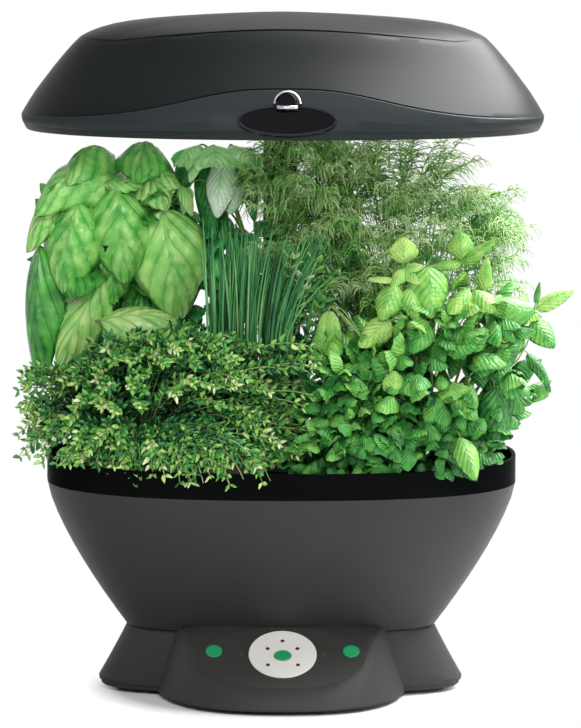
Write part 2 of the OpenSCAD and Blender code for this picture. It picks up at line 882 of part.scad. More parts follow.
// Puts its children on the hood's front face, z along the outward normal and y up the face
module on_hood_face(u, v) {
    translate([u, face_low[0] + v * cos(face_lean), face_low[1] + v * sin(face_lean)])
        rotate([badge_lean, 0, 0]) children();
}

// Oval slab of the badge, seated on the hood and clear of its lower lip and of the dome
module badge_slab(inset, h) {
    difference() {
        intersection() {
            on_hood_face(badge_x, badge_up) translate([0, 0, -badge_depth]) linear_extrude(badge_depth + h)
                polygon(oval(badge_w / 2 - inset, badge_h / 2 - inset, 2));
            above(hood_shell_z);
        }
        hood_solid(0);
        on_hood_face(badge_x, dome_up) rod(dome_d + 0.1, 50, [0, 0, -25]);
    }
}

module badge_plate() {
    color("#0d0e10") badge_slab(badge_rim_w + 0.1, badge_t);
}

module badge_rim() {
    color("#8f9297") difference() {
        badge_slab(0, badge_t + 0.8);
        on_hood_face(badge_x, badge_up) translate([0, 0, -50]) linear_extrude(100)
            polygon(oval(badge_w / 2 - badge_rim_w, badge_h / 2 - badge_rim_w, 2));
    }
}

module badge_dome() {
    color("#0d0e10") difference() {
        union() {
            on_hood_face(badge_x, dome_up) rod(dome_d, 14, [0, 0, -11]);
            on_hood_face(badge_x, dome_up) rod(dome_d - 4, 16.5, [0, 0, -11]);
        }
        hood_solid(0);
    }
}

// ---- Plants ----

// Soft crown of leaves over one pod, through stations of
// [share of height, middle x, middle y, half width, half depth]
module crown(stations, height) {
    n = 28;
    difference() {
        loft([for (s = stations)
            ring(oval(s[3], s[4], 2.2, n), root_z + s[0] * height, [s[1], s[2]])]);
        loft([for (s = stations)
            ring(oval(max(s[3] - leaf_wall, 2), max(s[4] - leaf_wall, 2), 2.2, n),
                root_z + s[0] * (height - leaf_wall) - (s[0] == 0 ? 1 : 0), [s[1], s[2]])]);
    }
}

module basil() {
    color("#6da845") crown([[0, -105, 42, 18, 18], [0.18, -112, 42, 50, 34], [0.4, -128, 42, 66, 38],
        [0.75, -132, 43, 62, 36], [0.93, -130, 44, 48, 28], [1, -128, 44, 22, 14]], canopy);
}

module broad_herb() {
    color("#4f9a3c") crown([[0, 0, 41, 17, 17], [0.3, -14, 44, 30, 30], [0.65, -34, 44, 26, 30],
        [0.9, -36, 44, 24, 26], [1, -36, 44, 12, 12]], canopy);
}

module dill() {
    color("#5f9a3e") crown([[0, 105, 38, 18, 18], [0.2, 105, 36, 44, 28], [0.42, 106, 40, 84, 36],
        [0.8, 104, 42, 82, 34], [0.95, 100, 42, 66, 26], [1, 96, 42, 34, 12]], canopy);
}

module thyme() {
    color("#7fa24a") crown([[0, -115, -43, 18, 18], [0.15, -114, -60, 70, 50], [0.5, -112, -62, 82, 54],
        [0.85, -108, -60, 72, 46], [1, -104, -56, 40, 22]], canopy * 0.46);
}

module chives() {
    color("#4e8a4a") crown([[0, 0, -48, 13, 13], [0.46, -2, -40, 15, 28], [0.56, -8, -36, 40, 30],
        [0.9, -10, -34, 44, 30], [1, -10, -34, 26, 16]], canopy * 0.77);
}

module mint() {
    color("#6fae3f") crown([[0, 115, -42, 18, 18], [0.12, 112, -58, 70, 48], [0.5, 114, -62, 80, 54],
        [0.85, 116, -60, 70, 46], [1, 112, -56, 40, 22]], canopy * 0.62);
}

// ---- Assembly ----

base_housing();
base_plate();
rubber_feet();
base_screws();
power_inlet();
control_board();
tact_switches();
console_overlay();
dial_face();
console_lights();
select_button();
left_button();
right_button();
bowl();
grow_deck();
fill_lid();
fill_lid_pin();
pump_body();
pump_cover();
pump_shaft();
pump_impeller();
water_tube();
drip_manifold();
for (i = [1:len(pod_spots)]) {
    grow_basket(i - 1);
    grow_sponge(i - 1);
}
pod_labels();
mast_outer();
mast_collar();
mast_inner();
mast_slides();
lamp_lead();
hood_shell();
hood_lip();
hood_bracket();
hood_screws();
reflector();
ballast();
socket_left();
socket_right();
bulb_left();
bulb_right();
badge_plate();
badge_rim();
badge_dome();
basil();
broad_herb();
dill();
thyme();
chives();
mint();
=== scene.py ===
"""Countertop hydroponic garden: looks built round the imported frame.

Lengths in the tables and in the helpers' arguments are millimetres. They turn to metres where a mesh is
placed.
"""

import math
import random

import bmesh
import bpy
import numpy as np
from mathutils import Matrix, Vector
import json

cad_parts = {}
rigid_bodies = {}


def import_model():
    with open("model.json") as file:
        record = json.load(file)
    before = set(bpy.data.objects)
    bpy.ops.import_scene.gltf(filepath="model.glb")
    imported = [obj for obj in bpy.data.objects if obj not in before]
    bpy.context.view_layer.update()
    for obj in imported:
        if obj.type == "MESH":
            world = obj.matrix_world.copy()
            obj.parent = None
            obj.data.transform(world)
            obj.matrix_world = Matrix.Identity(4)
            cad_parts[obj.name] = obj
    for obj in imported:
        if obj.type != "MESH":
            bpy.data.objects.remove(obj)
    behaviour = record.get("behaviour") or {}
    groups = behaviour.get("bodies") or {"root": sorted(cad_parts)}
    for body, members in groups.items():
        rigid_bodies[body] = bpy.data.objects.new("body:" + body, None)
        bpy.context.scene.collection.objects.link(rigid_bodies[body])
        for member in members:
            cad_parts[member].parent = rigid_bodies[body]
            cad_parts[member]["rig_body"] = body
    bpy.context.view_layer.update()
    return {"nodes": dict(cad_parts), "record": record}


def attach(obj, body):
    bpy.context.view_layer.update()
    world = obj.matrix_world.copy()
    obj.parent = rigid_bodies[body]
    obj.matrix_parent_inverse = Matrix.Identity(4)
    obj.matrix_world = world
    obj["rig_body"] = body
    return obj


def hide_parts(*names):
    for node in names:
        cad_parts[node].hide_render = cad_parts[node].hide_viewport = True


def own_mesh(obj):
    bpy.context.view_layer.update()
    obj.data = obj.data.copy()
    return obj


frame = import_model()
MM = 0.001


# ---- Camera and light ----

CAMERA_AT = (-88, -4500, 789)
CAMERA_AIM = (6.7, 0, 251)
LENS, SENSOR = 292, 36
FAR_CLIP = 60000
ROLL = math.radians(0.27)


def aim(thing, target):
    """Turns a camera or lamp so that it looks at the target."""
    thing.rotation_euler = (Vector(target) * MM - thing.location).to_track_quat("-Z", "Y").to_euler()


def make_camera():
    data = bpy.data.cameras.new("camera")
    data.lens = LENS
    data.sensor_width = SENSOR
    data.clip_end = FAR_CLIP * MM
    camera = bpy.data.objects.new("camera", data)
    bpy.context.scene.collection.objects.link(camera)
    camera.location = Vector(CAMERA_AT) * MM
    aim(camera, CAMERA_AIM)
    camera.rotation_euler.rotate_axis("Z", ROLL)
    bpy.context.scene.camera = camera


def make_softbox(name, at, target, size, power, sheen=False):
    """Rectangular lamp; a sheen lamp shows only in reflections."""
    data = bpy.data.lights.new(name, "AREA")
    data.shape = "RECTANGLE"
    data.size, data.size_y = size[0] * MM, size[1] * MM
    data.energy = power
    lamp = bpy.data.objects.new(name, data)
    bpy.context.scene.collection.objects.link(lamp)
    lamp.location = Vector(at) * MM
    lamp.visible_diffuse = not sheen
    aim(lamp, target)


# ---- Material helpers ----


def linear(code):
    """Linear colour of an sRGB hex code."""
    parts = [int(code[i:i + 2], 16) / 255 for i in (1, 3, 5)]
    return [p / 12.92 if p <= 0.04045 else ((p + 0.055) / 1.055) ** 2.4 for p in parts] + [1.0]


def fill_ramp(colours, stops):
    """Gives a colour ramp its stops, each a place and a hex colour."""
    while len(colours.elements) < len(stops):
        colours.elements.new(0.5)
    for element, (place, code) in zip(colours.elements, stops):
        element.position = place
        element.color = linear(code)


def add(tree, kind, settings=None, **links):
    """Adds a shader node. Settings fill its inputs, by name or number, its own properties or a ramp's stops.
    Links join an input to a socket, or to the first output of another node."""
    node = tree.nodes.new("ShaderNode" + kind)
    for key, value in (settings or {}).items():
        if key == "stops":
            fill_ramp(node.color_ramp, value)
        elif isinstance(key, int) or key in node.inputs:
            node.inputs[key].default_value = value
        else:
            setattr(node, key, value)
    for key, source in links.items():
        place = int(key[1:]) if key[0] == "i" and key[1:].isdigit() else key.replace("_", " ")
        tree.links.new(getattr(source, "outputs", [source])[0], node.inputs[place])
    return node


def limits(low, high, to_low, to_high):
    """Settings that move one range onto another, held at its ends."""
    return {"From Min": low, "From Max": high, "To Min": to_low, "To Max": to_high}


def even_stops(shades):
    return [(k / (len(shades) - 1), code) for k, code in enumerate(shades)]


def new_material(name):
    made = bpy.data.materials.new(name)
    made.use_nodes = True
    made.node_tree.nodes.clear()
    return made, made.node_tree


# Size of the clouds in a moulding's colour
CLOUD_MM = 71.43


def moulded(name, dark, light, rough, grain_mm, bump_mm, coat=0.0, specular=0.5, tints=()):
    """Moulded plastic: a clouded even colour over the fine grain of the mould. Tints are pairs: an attribute
    and the colour of the part of a piece where that attribute is 1."""
    made, tree = new_material(name)
    place = add(tree, "TexCoord").outputs["Object"]
    cloud = add(tree, "TexNoise", {"Scale": 1 / (CLOUD_MM * MM), "Detail": 2.0}, Vector=place)
    grain = add(tree, "TexNoise", {"Scale": 1 / (grain_mm * MM), "Detail": 1.5}, Vector=place)
    colour = add(tree, "ValToRGB", {"stops": [(0.3, dark), (0.7, light)]}, Fac=cloud)
    for attribute, code in tints:
        where = add(tree, "Attribute", {"attribute_name": attribute}).outputs["Fac"]
        mixed = add(tree, "Mix", {"data_type": "RGBA", 7: linear(code)}, i0=where, i6=colour)
        colour = mixed.outputs[2]
    roughness = add(tree, "MapRange", limits(0.3, 0.7, rough - 0.04, rough + 0.04), Value=grain)
    bump = add(tree, "Bump", {"Strength": 0.5, "Distance": bump_mm * MM}, Height=grain)
    even = {"Coat Weight": coat, "Coat Roughness": 0.06, "Specular IOR Level": specular}
    shader = add(tree, "BsdfPrincipled", even, Base_Color=colour, Roughness=roughness, Normal=bump)
    add(tree, "OutputMaterial", Surface=shader)
    return made


# Size of a scratch across, from front to back and along its length, coarse enough to show
SCRATCH_MM = (1.111, 1.111, 16.67)


def drawn_metal(name, code, rough):
    """Drawn or plated metal: fine upright scratches spread its highlights."""
    made, tree = new_material(name)
    place = add(tree, "TexCoord").outputs["Object"]
    lines = add(tree, "Mapping", {"Scale": [1 / (size * MM) for size in SCRATCH_MM]}, Vector=place)
    streak = add(tree, "TexNoise", {"Scale": 1.0, "Detail": 2.0}, Vector=lines)
    roughness = add(tree, "MapRange", limits(0.3, 0.7, rough - 0.05, rough + 0.07), Value=streak)
    even = {"Base Color": linear(code), "Metallic": 1.0}
    shader = add(tree, "BsdfPrincipled", even, Roughness=roughness)
    add(tree, "OutputMaterial", Surface=shader)
    return made


def peat(name, dark, light, pore_mm):
    """Pressed peat plug: matt and crumbly, with open pores."""
    made, tree = new_material(name)
    place = add(tree, "TexCoord").outputs["Object"]
    pores = add(tree, "TexVoronoi", {"Scale": 1 / (pore_mm * MM)}, Vector=place)
    colour = add(tree, "ValToRGB", {"stops": [(0.1, dark), (0.6, light)]}, Fac=pores)
    bump = add(tree, "Bump", {"Strength": 0.8, "Distance": 0.4 * MM}, Height=pores)
    shader = add(tree, "BsdfPrincipled", {"Roughness": 0.95}, Base_Color=colour, Normal=bump)
    add(tree, "OutputMaterial", Surface=shader)
    return made


# How far patches and the painted highlight on the swellings between veins change a leaf's tone, and the
# share of the vein colour, partly painted groove shade, in veins
PATCH_TONE, SWELL_HIGHLIGHT_TONE, VEIN_SHARE = 0.18, 0.07, 0.28


def leaf_skin(name, shades, vein, side_veins, slant, rough, bump_mm, patch_mm):
    """Leaf blade. By the attribute tone, shades run from painted shade for leaves in the crown's
    shadow to young ones. The midrib and the side veins follow the blade's own map and are darker, partly
    their own colour and partly painted shade in their grooves. The skin swells and pales between them, a
    painted highlight, and patches vary it."""
    made, tree = new_material(name)
    tone = add(tree, "Attribute", {"attribute_name": "tone"}).outputs["Fac"]
    place = add(tree, "TexCoord").outputs
    patch = add(tree, "TexNoise", {"Scale": 1 / (patch_mm * MM), "Detail": 2.0}, Vector=place["Object"])
    blade = add(tree, "SeparateXYZ", Vector=place["UV"]).outputs
    across = add(tree, "Math", {"operation": "SUBTRACT", 1: 0.5}, i0=blade["X"])
    across = add(tree, "Math", {"operation": "ABSOLUTE"}, i0=across)
    shift = add(tree, "Math", {"operation": "MULTIPLY", 1: slant * 2}, i0=across)
    along = add(tree, "Math", {"operation": "SUBTRACT"}, i0=blade["Y"], i1=shift)
    half_gap = 0.5 / side_veins
    wave = add(tree, "Math", {"operation": "PINGPONG", 1: half_gap}, i0=along)
    midrib = add(tree, "MapRange", limits(0.012, 0.035, 1, 0), Value=across)
    side = add(tree, "MapRange", limits(0.06 * half_gap, 0.24 * half_gap, 0.7, 0), Value=wave)
    # Painted highlight: the tone rises towards the middle of each swelling and falls towards the veins
    swell = add(tree, "MapRange", limits(0, half_gap, -SWELL_HIGHLIGHT_TONE, SWELL_HIGHLIGHT_TONE), Value=wave)
    patched = add(tree, "MapRange", limits(0.3, 0.7, -PATCH_TONE, PATCH_TONE), Value=patch)
    mixed = add(tree, "Math", {"operation": "ADD"}, i0=tone, i1=patched)
    mixed = add(tree, "Math", {"operation": "ADD"}, i0=mixed, i1=swell)
    colour = add(tree, "ValToRGB", {"stops": even_stops(shades)}, Fac=mixed)
    veins = add(tree, "Math", {"operation": "MAXIMUM"}, i0=midrib, i1=side)
    amount = add(tree, "Math", {"operation": "MULTIPLY", 1: VEIN_SHARE}, i0=veins)
    # Veins take the darker vein colour: partly their own, partly painted shade in their grooves
    veined = add(tree, "Mix", {"data_type": "RGBA", 7: linear(vein)}, i0=amount, i6=colour)
    sunk = add(tree, "Math", {"operation": "MULTIPLY", 1: -0.8}, i0=veins)
    height = add(tree, "Math", {"operation": "MULTIPLY_ADD", 1: 9.0}, i0=swell, i2=sunk)
    height = add(tree, "Math", {"operation": "MULTIPLY_ADD", 1: 1.8}, i0=patch, i2=height)
    bump = add(tree, "Bump", {"Strength": 0.7, "Distance": bump_mm * MM}, Height=height)
    even = {"Roughness": rough, "IOR": 1.45}
    shader = add(tree, "BsdfPrincipled", even, Base_Color=veined.outputs[2], Normal=bump)
    add(tree, "OutputMaterial", Surface=shader)
    return made


def thread_skin(name, shades, rough, patch_mm):
    """Thin blades and threads of green: colour by the attribute tone and by patches along the plant."""
    made, tree = new_material(name)
    tone = add(tree, "Attribute", {"attribute_name": "tone"}).outputs["Fac"]
    place = add(tree, "TexCoord").outputs["Object"]
    patch = add(tree, "TexNoise", {"Scale": 1 / (patch_mm * MM), "Detail": 2.0}, Vector=place)
    patched = add(tree, "MapRange", limits(0.3, 0.7, -0.15, 0.15), Value=patch)
    mixed = add(tree, "Math", {"operation": "ADD"}, i0=tone, i1=patched)
    colour = add(tree, "ValToRGB", {"stops": even_stops(shades)}, Fac=mixed)
    shader = add(tree, "BsdfPrincipled", {"Roughness": rough, "IOR": 1.45}, Base_Color=colour)
    add(tree, "OutputMaterial", Surface=shader)
    return made


MATERIALS = {
    # Hood: ABS in cool charcoal with a satin mould grain that spreads the lamp's reflection; the top is a
    # warm inlay, and the band below the crease is a shade lighter: painted light for the light it catches
    "hood_plastic": moulded("abs_satin_charcoal", "#0b0f0f", "#0e1212", 0.42, 0.8, 0.02, specular=0.09,
                            tints=(("inlay", "#13110f"), ("band", "#262c2d"))),
    "lip_plastic": moulded("abs_satin_lip", "#1b2021", "#1f2425", 0.42, 0.8, 0.02, specular=0.12),
    # Bowl and foot: ABS in warm charcoal from a coarse matt mould, so it hardly shines
    "bowl_plastic": moulded("abs_matt_bowl", "#282827", "#2c2c2a", 0.6, 1.0, 0.05, specular=0.22),
    "foot_plastic": moulded("abs_matt_foot", "#2c2c2a", "#30302e", 0.62, 1.0, 0.05, specular=0.2),
    # Deck: black ABS with its shine held back, so that it stays black between the leaves
    "deck_gloss": moulded("abs_polished_black", "#0a0c0b", "#0c0e0d", 0.3, 3.0, 0.004, specular=0.001),
    # Baskets and pump: plain polypropylene and ABS mouldings
    "basket_plastic": moulded("polypropylene_basket", "#1c1c1d", "#222223", 0.5, 0.9, 0.04),
    "pump_plastic": moulded("abs_pump", "#2c2e30", "#333638", 0.45, 0.9, 0.04),
    # Console film: matt polyester in nearly the foot's own colour
    "overlay": moulded("polyester_film", "#30302e", "#343432", 0.5, 0.6, 0.01, specular=0.3),
    # Dial: polycarbonate printed white, with a soft even gloss
    "dial": moulded("printed_polycarbonate", "#dedcd6", "#e5e3dd", 0.4, 0.7, 0.01),
    # Buttons: ABS moulded in green, with a fine grain that softens the highlight
    "button_green": moulded("abs_button_green", "#1d8a55", "#229a60", 0.38, 0.7, 0.01),
    # Lights: unlit red epoxy, dark under a clear coat with a sharp highlight
    "led_lens": moulded("epoxy_lens_red", "#5c1d16", "#702419", 0.15, 2.0, 0.004, coat=0.5),
    # Feet: moulded rubber, nearly black and dull
    "rubber": moulded("moulded_rubber", "#131313", "#191919", 0.8, 1.2, 0.08),
    # Control board: green solder mask, smooth enough to shine
    "board": moulded("solder_mask", "#1d5a31", "#246b3b", 0.35, 2.0, 0.02),
    # Impeller, tube and mast slides: nylon, silicone and acetal in their own milky white, with a low sheen
    "impeller": moulded("nylon_impeller", "#c6c9cc", "#d2d5d8", 0.5, 0.9, 0.03),
    "tube": moulded("silicone_tube", "#d6dad8", "#e2e6e4", 0.4, 2.0, 0.02),
    "bush": moulded("acetal_bush", "#d6d3c8", "#e0ddd3", 0.4, 0.9, 0.02),
    # Lead: rubber sheath, dull black
    "lead": moulded("rubber_lead", "#161616", "#1c1c1c", 0.5, 1.0, 0.03),
    # Bulb sockets: urea moulding, cream with an even gloss
    "socket": moulded("urea_socket", "#dedbd0", "#e9e6dc", 0.4, 0.9, 0.02),
    # Pod labels: uncoated paper, quite matt
    "label": moulded("uncoated_paper", "#dcd9cb", "#e6e3d6", 0.8, 0.6, 0.03),
    # Reflector: white baked enamel; lamps: opal glass
    "reflector": moulded("white_enamel", "#e6e6e3", "#eeeeeb", 0.4, 2.0, 0.02),
    "lamp_glass": moulded("opal_glass", "#ecece6", "#f3f3ee", 0.15, 3.0, 0.005, coat=0.4),
    # Badge: polished acrylic, black with a sharp but held back reflection
    "badge_black": moulded("polished_acrylic", "#050507", "#07070a", 0.12, 4.0, 0.002, specular=0.12),
    # Mast: black powder coat over steel, with a fine orange peel
    "mast_metal": moulded("powder_coat_black", "#151517", "#1a1a1c", 0.45, 0.9, 0.03),
    # Screws, pins and ballast: zinc plate and a plain steel can, grey with streaked highlights
    "steel": drawn_metal("zinc_plated_steel", "#b9bcc0", 0.35),
    "ballast": drawn_metal("steel_can", "#8d9297", 0.45),
    # Badge: smoked chrome for its rim and bright chrome under the dome, both mirror-like
    "badge_rim": drawn_metal("smoked_chrome", "#303136", 0.14),
    "dome_rim": drawn_metal("bright_chrome", "#a3a5a8", 0.16),
    # Sponges: pressed peat, matt brown with open pores
    "sponge": peat("pressed_peat", "#2c1c10", "#5d432b", 1.4),
    # Leaves: a waxy skin over soft tissue; young ones are yellower, and shaded ones are painted bluer and
    # darker, painted shade for leaves deep in a crown
    "basil_leaf": leaf_skin("basil_blade", ["#1e6a2a", "#57ae47", "#9ed674", "#d6ec9a"],
                            "#338330", 4, 0.55, 0.26, 1.1, 14),
    "broad_leaf": leaf_skin("broad_herb_blade", ["#27893f", "#64c968", "#a4e28c", "#e6f5e0"],
                            "#2a8045", 7, 0.4, 0.36, 0.3, 10),
    "mint_leaf": leaf_skin("mint_blade", ["#195222", "#43963e", "#7ebb52", "#b6d674"],
                           "#2c7a2c", 6, 0.4, 0.48, 0.5, 9),
    "thyme_leaf": thread_skin("thyme_leaf", ["#0d381a", "#256f38", "#5aa348", "#a2cb66", "#d9e3ae"], 0.5, 9),
    "dill_leaf": thread_skin("dill_thread", ["#296a2a", "#58a346", "#8abd64", "#bcd696"], 0.5, 20),
    "chive_leaf": thread_skin("chive_blade", ["#123f22", "#2c7740", "#4f9a58", "#7fb06c", "#b4c486"],
                              0.45, 25),
    # Stems: smooth green bark, paler than the leaves
    "stem": thread_skin("green_stem", ["#3c6a2c", "#7d9f4e", "#b6bf82"], 0.5, 12),
}


# ---- Mesh helpers ----


def to_object(bm, name, smooth=30):
    """Object of a bmesh at the origin, softly shaded up to an angle."""
    mesh = bpy.data.meshes.new(name)
    bm.to_mesh(mesh)
    bm.free()
    made = bpy.data.objects.new(name, mesh)
    bpy.context.scene.collection.objects.link(made)
    mesh.shade_smooth()
    if smooth < 180:
        mesh.set_sharp_from_angle(angle=math.radians(smooth))
    return made


def finish(piece, body, slot, *nodes, skin=None):
    """Lets a piece ride on a body in place of frame nodes, with its material."""
    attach(piece, body)
    if nodes:
        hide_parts(*nodes)
    piece.data.materials.clear()
    piece.data.materials.append(MATERIALS[skin or slot])
    return piece


def node_place(name):
    """Body and material slot of a frame node."""
    slot = next(part["material_slot"] for part in frame["record"]["subparts"] if part["node"] == name)
    return frame["nodes"][name]["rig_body"], slot


MERGE_MM = 0.0005
FLAT_ANGLE, BEVEL_ANGLE = math.radians(0.4), math.radians(40)


def soft_copy(name, edge_mm=0.3, moved=None):
    """Merged and softly shaded copy of a frame node with small rounded edges, moved if a matrix is given."""
    bm = bmesh.new()
    bm.from_mesh(frame["nodes"][name].data)
    bmesh.ops.remove_doubles(bm, verts=bm.verts, dist=MERGE_MM * MM)
    bmesh.ops.dissolve_limit(bm, angle_limit=FLAT_ANGLE, verts=bm.verts, edges=bm.edges)
    if moved:
        bmesh.ops.transform(bm, matrix=moved, verts=bm.verts)
    made = to_object(bm, name + "_finished")
    if edge_mm:
        edges = made.modifiers.new("rounded_edges", "BEVEL")
        edges.width = edge_mm * MM
        edges.segments = 2
        edges.limit_method = "ANGLE"
        edges.angle_limit = BEVEL_ANGLE
    return finish(made, *node_place(name), name)


def mix(a, b, share):
    return a + (b - a) * share


def between(table, at):
    """Row of a table at a place in its first column, blended between the rows."""
    for low, high in zip(table, table[1:]):
        if at <= high[0]:
            break
    share = min(max((at - low[0]) / (high[0] - low[0]), 0), 1)
    return [mix(a, b, share) for a, b in zip(low, high)][1:]


def oval(turn, a, b, power):
    """Point of a rounded oval with half axes a and b, at an angle."""
    c, s = math.cos(turn), math.sin(turn)
    return a * math.copysign(abs(c) ** (2 / power), c), b * math.copysign(abs(s) ** (2 / power), s)


def level_ring(a, b, power, z):
    """Station of a loft: a rounded oval at one height."""
    return lambda turn: (*oval(turn, a, b, power), z)


# Points round a moulding
RING = 160


def loft(stations, bm=None):
    """Skin drawn from ring to ring, with both ends filled. A station gives the point in millimetres at an
    angle."""
    bm = bm or bmesh.new()
    turn = bm.verts.layers.float.get("turn") or bm.verts.layers.float.new("turn")
    ring = bmesh.ops.create_circle(bm, segments=RING, radius=1)["verts"]
    for vert in ring:
        vert[turn] = math.atan2(vert.co.y, vert.co.x)
        vert.co = Vector(stations[0](vert[turn])) * MM
    edges = list({edge for vert in ring for edge in vert.link_edges})
    first = edges
    for station in stations[1:]:
        new = bmesh.ops.extrude_edge_only(bm, edges=edges)["geom"]
        verts = {item for item in new if isinstance(item, bmesh.types.BMVert)}
        edges = [item for item in new if isinstance(item, bmesh.types.BMEdge) and set(item.verts) <= verts]
        for vert in verts:
            vert.co = Vector(station(vert[turn])) * MM
    bmesh.ops.holes_fill(bm, edges=first + edges, sides=0)
    bmesh.ops.recalc_face_normals(bm, faces=bm.faces)
    return bm


def blank_mesh():
    """Empty mesh that carries a blade's map and a tone."""
    bm = bmesh.new()
    bm.loops.layers.uv.new("blade")
    bm.verts.layers.float.new("tone")
    return bm


def merge(bm, part):
    """Moves a part's geometry into a larger mesh."""
    mesh = bpy.data.meshes.new("part")
    part.to_mesh(mesh)
    part.free()
    bm.from_mesh(mesh)
    bpy.data.meshes.remove(mesh)


def bow(start, middle, end, steps):
    """Points of a smooth bow from start to end, drawn towards middle."""
    start, middle, end = Vector(start), Vector(middle), Vector(end)
    shares = [k / steps for k in range(steps + 1)]
    return [start.lerp(middle, share).lerp(middle.lerp(end, share), share) for share in shares]


def taper(first, last, steps):
    return [mix(first, last, k / steps) for k in range(steps + 1)]


def tube(bm, points, radii, tone, sides=5):
    """Closed tapering stem along points."""
    points = [Vector(point) for point in points]
    stem = blank_mesh()
    ahead = points[1] - points[0]
    start = Matrix.Translation(points[0] * MM) @ ahead.to_track_quat("Z", "Y").to_matrix().to_4x4()
    bmesh.ops.create_circle(stem, cap_ends=True, segments=sides, radius=radii[0] * MM, matrix=start)
    edges = list(stem.edges)
    for k in range(1, len(points)):
        way = points[min(k + 1, len(points) - 1)] - points[k - 1]
        turn = ahead.rotation_difference(way).to_matrix() * (radii[k] / radii[k - 1])
        new = bmesh.ops.extrude_edge_only(stem, edges=edges)["geom"]
        verts = [item for item in new if isinstance(item, bmesh.types.BMVert)]
        for vert in verts:
            vert.co = points[k] * MM + turn @ (vert.co - points[k - 1] * MM)
        edges = [item for item in new if isinstance(item, bmesh.types.BMEdge)
                 and item.verts[0] in verts and item.verts[1] in verts]
        ahead = way
    bmesh.ops.edgeloop_fill(stem, edges=edges)
    bmesh.ops.recalc_face_normals(stem, faces=stem.faces)
    shade = stem.verts.layers.float["tone"]
    for vert in stem.verts:
        vert[shade] = tone
    merge(bm, stem)


# ---- Stage ----

FLOOR_M = 30
# Distance from the middle over which the floor's shadow fades out
SHADOW_FADE = (125 * MM, 150 * MM)


def make_stage():
    """White floor that shows the shadow near the foot, and a white world with a plain level of light."""
    bm = bmesh.new()
    bmesh.ops.create_grid(bm, x_segments=1, y_segments=1, size=FLOOR_M)
    floor = to_object(bm, "floor")
    made, tree = new_material("white_paper_floor")
    path = add(tree, "LightPath")
    place = add(tree, "TexCoord").outputs["Object"]
    far = add(tree, "VectorMath", {"operation": "LENGTH"}, i0=place).outputs["Value"]
    bare = add(tree, "MapRange", limits(*SHADOW_FADE, 0, 1), Value=far)
    seen = add(tree, "Math", {"operation": "MULTIPLY"}, i0=bare, i1=path.outputs["Is Camera Ray"])
    paper = add(tree, "BsdfDiffuse", {"Color": linear("#fcfcfc")})
    white = add(tree, "Emission", {"Color": (1, 1, 1, 1), "Strength": 1.0})
    both = add(tree, "MixShader", i0=seen, i1=paper, i2=white)
    add(tree, "OutputMaterial", Surface=both)
    floor.data.materials.append(made)

    world = bpy.data.worlds.new("studio")
    world.use_nodes = True
    tree = world.node_tree
    tree.nodes.clear()
    path = add(tree, "LightPath").outputs
    shown = add(tree, "Math", {"operation": "MAXIMUM"}, i0=path["Is Camera Ray"],
                i1=path["Is Transmission Ray"])
    shown = add(tree, "Math", {"operation": "MAXIMUM"}, i0=shown, i1=path["Is Glossy Ray"])
    white = add(tree, "Background", {"Color": (1, 1, 1, 1), "Strength": 1.0})
    fill = add(tree, "Background", {"Color": linear("#eef1f4"), "Strength": 0.36})
    both = add(tree, "MixShader", i0=shown, i1=fill, i2=white)
    add(tree, "OutputWorld", Surface=both)
    bpy.context.scene.world = world
    bpy.context.scene.view_settings.view_transform = "Standard"


# ---- Lamp hood ----

HOOD_W, HOOD_D, HOOD_H, HOOD_Z = 400, 232, 94, 432
LIP_H = 5
HOOD_WALL = 3
HOOD_TOP = 521.6
HOOD_POWER = 2.2
# Share of the hood's height, width and depth
HOOD_STATIONS = [
    [0, 0.994, 0.992], [0.07, 1, 1], [0.12, 0.998, 0.982], [0.2, 0.977, 0.94], [0.3, 0.947, 0.874],
    [0.4, 0.912, 0.806], [0.5, 0.876, 0.738], [0.6, 0.838, 0.672], [0.7, 0.796, 0.612], [0.76, 0.766, 0.575],
    [0.81, 0.72, 0.54], [0.87, 0.62, 0.485], [0.93, 0.48, 0.38], [0.975, 0.27, 0.22], [1, 0.06, 0.05],
]
# Crease across the front: its height at the ends, its rise in the middle and half the width of the hump
CREASE_Z, CREASE_RISE, CREASE_HALF = 440, 29, 103
# Edge of the top panel, in the same way
TOP_Z, TOP_RISE, TOP_HALF = 502.5, 9.5, 165
FRONT_BULGE = 9
# The lower edge tucks in over a small height
TUCK, TUCK_H = 1.5, 7
# Shut lines above the crease and under the top panel
GROOVE_LEVELS, GROOVE_DEPTH = (1.012, 1.968, 1.984), 1.2


def hood_size(z):
    """Half width and half depth of the hood at a height."""
    wide, deep = between(HOOD_STATIONS, (z - HOOD_Z) / HOOD_H)
    return HOOD_W / 2 * wide, HOOD_D / 2 * deep


def hood_point(turn, level):
    """Point of the hood's outside. Level 0 is the lower edge, 1 the crease, 2 the edge of the top panel and 3
    the middle."""
    x = oval(turn, HOOD_W / 2, HOOD_D / 2, HOOD_POWER)[0]
    low, fold = HOOD_Z + LIP_H, CREASE_Z + CREASE_RISE / (1 + (abs(x) / CREASE_HALF) ** 3)
    edge = TOP_Z + TOP_RISE * max(0, 1 - (x / TOP_HALF) ** 2)
    front = max(0, -math.sin(turn)) ** 0.7
    bulge = FRONT_BULGE * front
    if level <= 1:
        z = mix(low, fold, level)
        a, b = hood_size(z)
        tuck = TUCK * max(0, 1 - (z - low) / TUCK_H) ** 1.5
        a, b, grow = a - tuck, b - tuck, 1 + bulge * level ** 0.6 / b
    elif level <= 2:
        share = level - 1
        z = mix(fold, edge, share)
        a, b = hood_size(z)
        groove = GROOVE_DEPTH * front if level in GROOVE_LEVELS else 0
        grow = 1 + (bulge * (1 - share) ** 1.1 - groove) / b
    else:
        share = 3 - level
        a, b = hood_size(edge)
        flank = math.cos(turn) ** 2
        fall = flank * (0.5 * share ** 1.5 + 0.5 * share ** 8) + (1 - flank) * share ** 1.4
        z = HOOD_TOP - (HOOD_TOP - edge) * fall
        a, b, grow = a * share, b * share, 1
    x, y = oval(turn, a, b * grow, HOOD_POWER)
    return x, y, z


